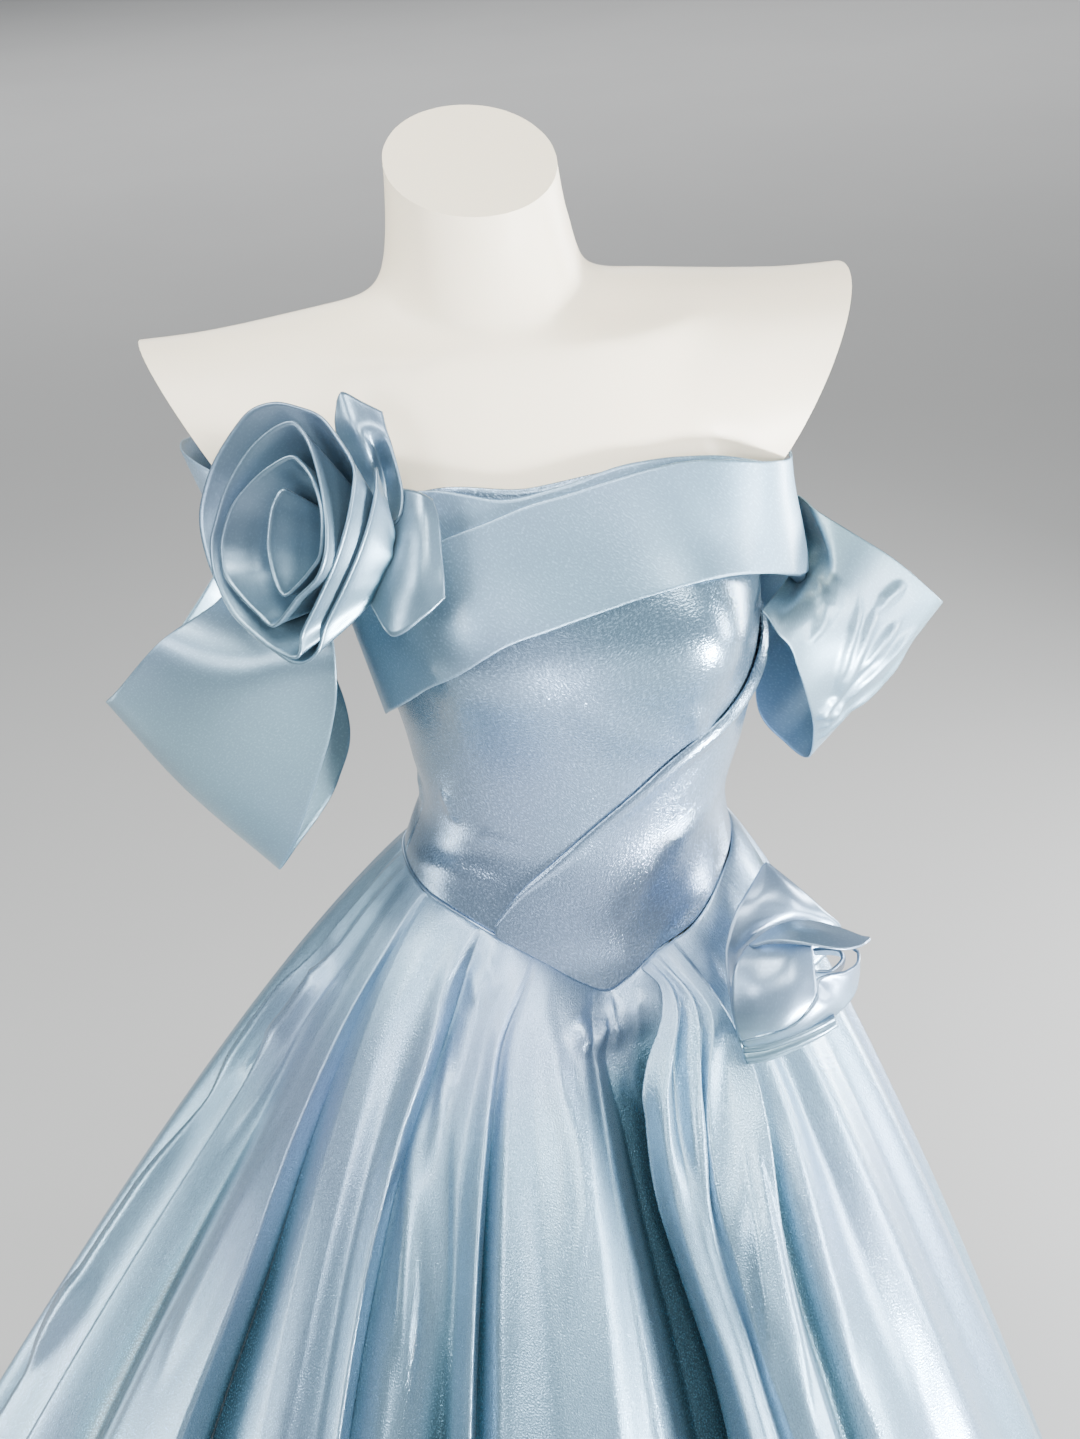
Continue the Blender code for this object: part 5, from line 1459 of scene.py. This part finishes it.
# %% Nets of the leaves and the hip rose
# Each net goes from one end of the leaf to the other, a row at a time, in millimetres. These
# points too were picked by eye and turned into millimetres by a helper script that isn't kept.
LEAVES = {}
LEAVES["petal_shoulder_upright"] = [
    [(-134.1, -88.6, 1372.2), (-130.6, -89.1, 1376.6), (-120.9, -93.5, 1371.1), (-111.3, -95.8, 1365.2)],
    [(-136.7, -93.6, 1361.8), (-128.0, -101.0, 1363.2), (-118.8, -101.2, 1359.2), (-110.4, -100.5, 1356.4)],
    [(-136.0, -97.5, 1350.0), (-124.1, -104.9, 1352.4), (-116.6, -99.2, 1343.7), (-108.6, -105.3, 1347.7)],
    [(-131.6, -98.9, 1339.7), (-121.1, -103.5, 1338.5), (-113.8, -101.1, 1332.2), (-107.0, -111.3, 1336.4)],
    [(-125.1, -104.0, 1327.4), (-118.7, -106.6, 1324.5), (-112.9, -108.9, 1321.7), (-106.3, -117.2, 1325.3)],
    [(-120.2, -111.4, 1314.7), (-116.7, -115.3, 1312.7), (-113.2, -119.1, 1310.7), (-109.4, -122.7, 1313.7)],
    [(-119.5, -118.6, 1305.4), (-118.8, -120.2, 1304.7), (-116.7, -121.0, 1305.9), (-115.1, -121.3, 1308.1)],
]
LEAVES["petal_shoulder_square"] = [
    [(-105.4, -112.4, 1324.9), (-100.3, -115.7, 1324.6), (-95.2, -118.5, 1322.8), (-90.3, -119.0, 1319.1)],
    [(-114.3, -116.5, 1309.8), (-106.7, -123.7, 1311.5), (-97.3, -126.8, 1312.9), (-88.9, -125.8, 1308.4)],
    [(-122.3, -122.1, 1292.2), (-112.1, -131.6, 1294.5), (-100.2, -136.7, 1294.9), (-90.1, -135.2, 1289.9)],
    [(-127.5, -125.6, 1279.3), (-117.8, -136.9, 1278.0), (-104.5, -142.6, 1280.0), (-90.6, -140.2, 1280.0)],
    [(-131.0, -129.2, 1266.9), (-122.0, -146.4, 1254.0), (-103.8, -146.9, 1262.9), (-91.5, -143.7, 1270.8)],
]
LEAVES["petal_hip_hood"] = [
    [(100.7, -104.6, 1044.0), (101.5, -104.9, 1043.6), (102.6, -104.5, 1042.6), (103.7, -104.0, 1041.6)],
    [(85.0, -118.9, 1033.5), (95.7, -121.0, 1032.8), (109.9, -117.0, 1031.6), (121.9, -109.6, 1023.2)],
    [(75.0, -128.0, 1026.0), (90.2, -128.2, 1021.5), (112.3, -124.8, 1017.3), (136.2, -111.3, 1006.7)],
    [(67.6, -136.4, 1014.1), (76.7, -135.3, 1008.1), (97.2, -126.0, 1005.9), (148.3, -110.2, 990.6)],
    [(64.2, -142.3, 1003.7), (71.0, -137.5, 997.5), (86.8, -127.1, 991.7), (140.5, -113.7, 977.0)],
    [(63.3, -151.5, 985.6), (69.6, -144.2, 979.6), (80.6, -136.2, 972.2), (109.7, -126.5, 960.3)],
    [(64.8, -160.2, 964.9), (69.6, -154.4, 960.0), (77.1, -147.4, 953.7), (92.2, -140.3, 945.9)],
    [(66.8, -163.7, 949.8), (69.3, -159.9, 944.8), (73.7, -155.8, 941.0), (78.9, -151.7, 937.1)],
]
LEAVES["petal_hip_point"] = [
    [(80.2, -140.1, 1008.6), (80.4, -142.1, 1009.1), (81.0, -144.1, 1009.9)],
    [(93.2, -140.0, 1017.2), (92.2, -145.9, 1016.5), (92.7, -149.8, 1015.7)],
    [(106.5, -138.6, 1019.5), (106.8, -148.1, 1018.9), (107.4, -156.7, 1015.6)],
    [(123.3, -136.7, 1015.2), (122.9, -148.1, 1015.0), (122.4, -159.9, 1011.9)],
    [(139.7, -136.4, 1007.5), (137.8, -147.2, 1008.1), (135.6, -158.7, 1007.2)],
    [(151.9, -139.2, 1001.4), (150.5, -145.6, 1001.9), (147.7, -151.6, 1002.5)],
    [(157.7, -139.1, 999.0), (157.3, -141.2, 999.2), (155.4, -143.3, 999.0)],
]
LEAVES["petal_hip_square"] = [
    [(78.5, -140.3, 1007.6), (91.9, -144.0, 1008.9), (105.4, -147.5, 1008.6), (116.7, -148.3, 1006.0)],
    [(70.5, -146.7, 1001.6), (86.0, -153.1, 1002.8), (100.9, -156.8, 1002.4), (115.9, -156.8, 996.0)],
    [(65.0, -153.8, 990.6), (79.9, -162.4, 991.6), (98.2, -165.2, 991.8), (115.4, -162.6, 986.8)],
    [(63.1, -159.9, 978.2), (78.2, -167.7, 978.7), (94.8, -170.9, 977.6), (113.6, -166.0, 979.7)],
    [(64.2, -164.2, 965.8), (77.4, -169.6, 966.0), (91.1, -172.3, 967.1), (104.9, -169.2, 970.8)],
    [(66.4, -166.2, 958.1), (77.7, -168.5, 961.5), (90.1, -170.0, 964.8), (102.2, -168.6, 966.7)],
]
LEAVES["rose_hip_outer"] = [
    [(73.7, -157.4, 942.1), (69.9, -164.7, 951.0), (67.5, -165.4, 955.6)],
    [(90.0, -158.7, 944.6), (86.0, -167.7, 954.7), (83.6, -170.0, 960.4)],
    [(109.5, -159.2, 949.8), (104.4, -168.6, 960.7), (101.0, -171.4, 967.4)],
    [(126.7, -156.6, 955.7), (119.8, -165.5, 969.3), (114.3, -167.5, 979.1)],
    [(138.9, -152.2, 961.3), (127.6, -160.2, 976.5), (116.9, -160.9, 988.2)],
    [(146.3, -145.7, 965.1), (134.9, -155.8, 979.5), (124.3, -158.9, 990.1)],
    [(151.3, -137.2, 970.0), (143.3, -149.5, 981.1), (136.8, -155.2, 987.8)],
    [(154.1, -130.2, 975.5), (149.5, -142.3, 983.7), (147.0, -148.0, 987.3)],
    [(155.2, -125.8, 980.0), (151.9, -135.5, 986.7), (150.8, -138.8, 988.7)],
    [(154.1, -123.0, 980.7), (150.9, -130.9, 986.5), (149.7, -132.3, 987.8)],
]
LEAVES["rose_hip_curl"] = [
    [(121.9, -138.0, 977.0), (119.1, -147.1, 984.9), (116.2, -156.3, 992.6)],
    [(132.5, -138.3, 975.2), (129.6, -147.4, 983.2), (127.0, -155.5, 990.8)],
    [(141.1, -134.7, 976.0), (139.2, -143.1, 985.6), (136.3, -150.0, 993.4)],
    [(144.0, -128.5, 980.1), (141.1, -137.2, 988.9), (136.8, -144.2, 996.1)],
    [(138.1, -126.3, 982.6), (134.4, -134.9, 991.2), (130.5, -142.1, 998.0)],
    [(126.6, -125.8, 984.4), (123.8, -134.8, 992.5), (121.4, -141.5, 998.6)],
]
LEAVES["rose_hip_gathers"] = [
    [(70.3, -156.6, 947.1), (68.7, -163.9, 945.7), (71.4, -160.8, 935.0)],
    [(83.2, -160.0, 948.8), (81.8, -167.3, 947.5), (84.9, -162.3, 936.1)],
    [(99.2, -160.9, 952.0), (98.7, -168.0, 951.3), (100.5, -161.7, 939.9)],
    [(115.9, -159.5, 955.4), (115.1, -166.4, 955.2), (116.6, -159.8, 944.0)],
    [(129.2, -156.5, 956.5), (128.3, -161.8, 957.1), (129.8, -156.2, 948.5)],
]
print("leaves and petals:", len(LEAVES))

# %% Leaves and the hip rose
GATHER_HEIGHT = 0.0022
GATHERS = 2.5
for name, net in LEAVES.items():
    points = smooth_net(np.array(net) / 1000, 10 * (len(net) - 1), 10 * (len(net[0]) - 1))
    if name == "rose_hip_gathers":
        share = np.linspace(0, 1, points.shape[1])[None, :]
        gathers = GATHER_HEIGHT * np.sin(share * 2 * GATHERS * np.pi)
        points = raise_by(points, gathers * np.ones((len(points), 1)))
    leaf = cloth(name + "_cloth", points, thick=ROSE_CLOTH)
    carrier = "rose_shoulder_cloth" if "shoulder" in name else "skirt_over_cloth"
    solid = "rose_hip" if name.startswith("rose_hip") else name
    dress_sheet(leaf, "flower_satin", "folded", [carrier], solid)

# %% [markdown]
# ## Floor, light and camera
#
# Satin shows the light more than it shows itself. A bright patch appears where the cloth
# mirrors a lamp towards the camera, so each lamp is set along the mirrored line of sight of
# one part. Two small low lamps light the waist and the bodice, which lean away from above.
# The high lamps in front draw the streaks on the skirt, and the lamps at the sides draw its
# two outlines. A wide lamp far behind keeps the pale floor even. A bright sky all round would
# light the floor with less work, but it would fill every hollow and flatten the folds.

# %% A pale floor
FLOOR_DROP = 0.0005       # keeps the floor just under the stand's base


def stage_floor():
    net = bmesh.new()
    bmesh.ops.create_grid(net, x_segments=24, y_segments=24, size=40.0)
    mesh = bpy.data.meshes.new("studio_floor")
    net.to_mesh(mesh)
    net.free()
    floor = bpy.data.objects.new("studio_floor", mesh)
    bpy.context.scene.collection.objects.link(floor)
    paint = Finish("studio_floor_paint")
    place = paint.node("TexCoord", out=3)
    cloud = paint.noise(place, 1.3, 3)
    tone = paint.mix(cloud, (0.55, 0.55, 0.55, 1), (0.60, 0.60, 0.595, 1))
    floor.data.materials.append(paint.surface({"Base Color": tone, "Roughness": 0.7}))
    floor.location.z = -FLOOR_DROP


stage_floor()
print("floor laid")

# %% Lamps and the room's own light
WARM, COOL = (1.0, 0.985, 0.94), (0.98, 0.99, 1.0)
# Name, place, what it points at, size, watts, colour, and how wide it spreads in degrees.
LAMPS = [
    ("key", (1.4, -2.4, 2.8), (0.0, 0, 1.0), (0.9, 0.7), 62, WARM, 180),
    ("low right", (1.17, -1.15, 0.22), (0.04, -0.09, 1.05), (0.36, 0.34), 26, (1.0, 1.0, 1.0), 70),
    ("side", (2.35, -0.8, 0.9), (0, 0, 1.0), (0.5, 1.0), 72, COOL, 180),
    ("rim", (2.3, 0.9, 0.8), (0, 0, 0.95), (0.4, 1.2), 105, COOL, 180),
    ("front", (0.3, -2.7, 2.9), (0, 0, 0.9), (0.4, 0.7), 26, WARM, 180),
    ("front left", (-1.5, -2.0, 2.2), (-0.1, 0, 0.8), (0.8, 0.9), 50, (0.97, 0.99, 1.0), 180),
    ("low left", (-1.85, 0.4, 0.4), (-0.1, 0, 0.95), (0.35, 0.9), 3.5, (0.95, 1.0, 0.98), 90),
    ("left", (-1.95, -0.1, 2.6), (0, 0, 0.8), (1.7, 0.6), 58, (1.0, 1.0, 0.95), 180),
    ("top", (-0.3, -1.1, 3.2), (-0.1, 0, 0.9), (0.9, 0.8), 65, (1.0, 0.98, 0.93), 180),
    ("behind", (0.4, 2.6, 2.3), (0, 0, 1.0), (1.6, 1.2), 20, (0.95, 0.98, 1.0), 180),
    ("floor wash", (0.8, 8.5, 4.0), (0.8, 8.51, 0), (12, 5), 420, (1.0, 1.0, 1.0), 180),
]


def soft_lamp(name, place, aim, size, power, colour, spread):
    lamp = bpy.data.lights.new(name, "AREA")
    lamp.shape = "RECTANGLE"
    lamp.size, lamp.size_y = size
    lamp.energy = power
    lamp.color = colour
    lamp.spread = math.radians(spread)
    made = bpy.data.objects.new(name, lamp)
    bpy.context.scene.collection.objects.link(made)
    made.location = place
    made.rotation_euler = (Vector(aim) - Vector(place)).to_track_quat("-Z", "Y").to_euler()


for row in LAMPS:
    soft_lamp(*row)
world = bpy.data.worlds.new("studio")
bpy.context.scene.world = world
world.use_nodes = True
room = world.node_tree.nodes["Background"].inputs
room["Color"].default_value = (0.62, 0.68, 0.74, 1)
room["Strength"].default_value = 0.19
print("lamps:", len(LAMPS))

# %% [markdown]
# ## The camera
#
# The camera stands in front of the gown, a little to the wearer's right and above the shoulders,
# and close by, so the hem stays outside the frame. Its lens is given the way a camera is
# measured: a focal length in pixels of a frame of known height, carried to a 36 mm sensor.

# %% The camera
SENSOR_MM = 36
FOCAL_PIXELS = 2100
FRAME_PIXELS = 1439
CAMERA_PLACE = (-0.2105, -1.2043, 1.7347)
RIGHT = Vector((0.9803, -0.1873, -0.0622))
UP = Vector((0.1397, 0.4364, 0.8888))
BACK = Vector((-0.1394, -0.8800, 0.4540))
lens = bpy.data.cameras.new("view")
lens.sensor_width = SENSOR_MM
lens.lens = FOCAL_PIXELS * SENSOR_MM / FRAME_PIXELS
camera = bpy.data.objects.new("view", lens)
bpy.context.scene.collection.objects.link(camera)
turn = Matrix((RIGHT, UP, BACK)).transposed().to_quaternion().to_matrix().to_4x4()
camera.matrix_world = Matrix.Translation(CAMERA_PLACE) @ turn
bpy.context.scene.camera = camera
print("camera at", CAMERA_PLACE, f"with a {lens.lens:.1f} mm lens")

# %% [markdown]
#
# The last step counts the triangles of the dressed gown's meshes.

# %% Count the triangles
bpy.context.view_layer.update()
triangles = sum(len(p.vertices) - 2 for o in gown.objects if o.type == "MESH" for p in o.data.polygons)
print("triangles:", triangles)
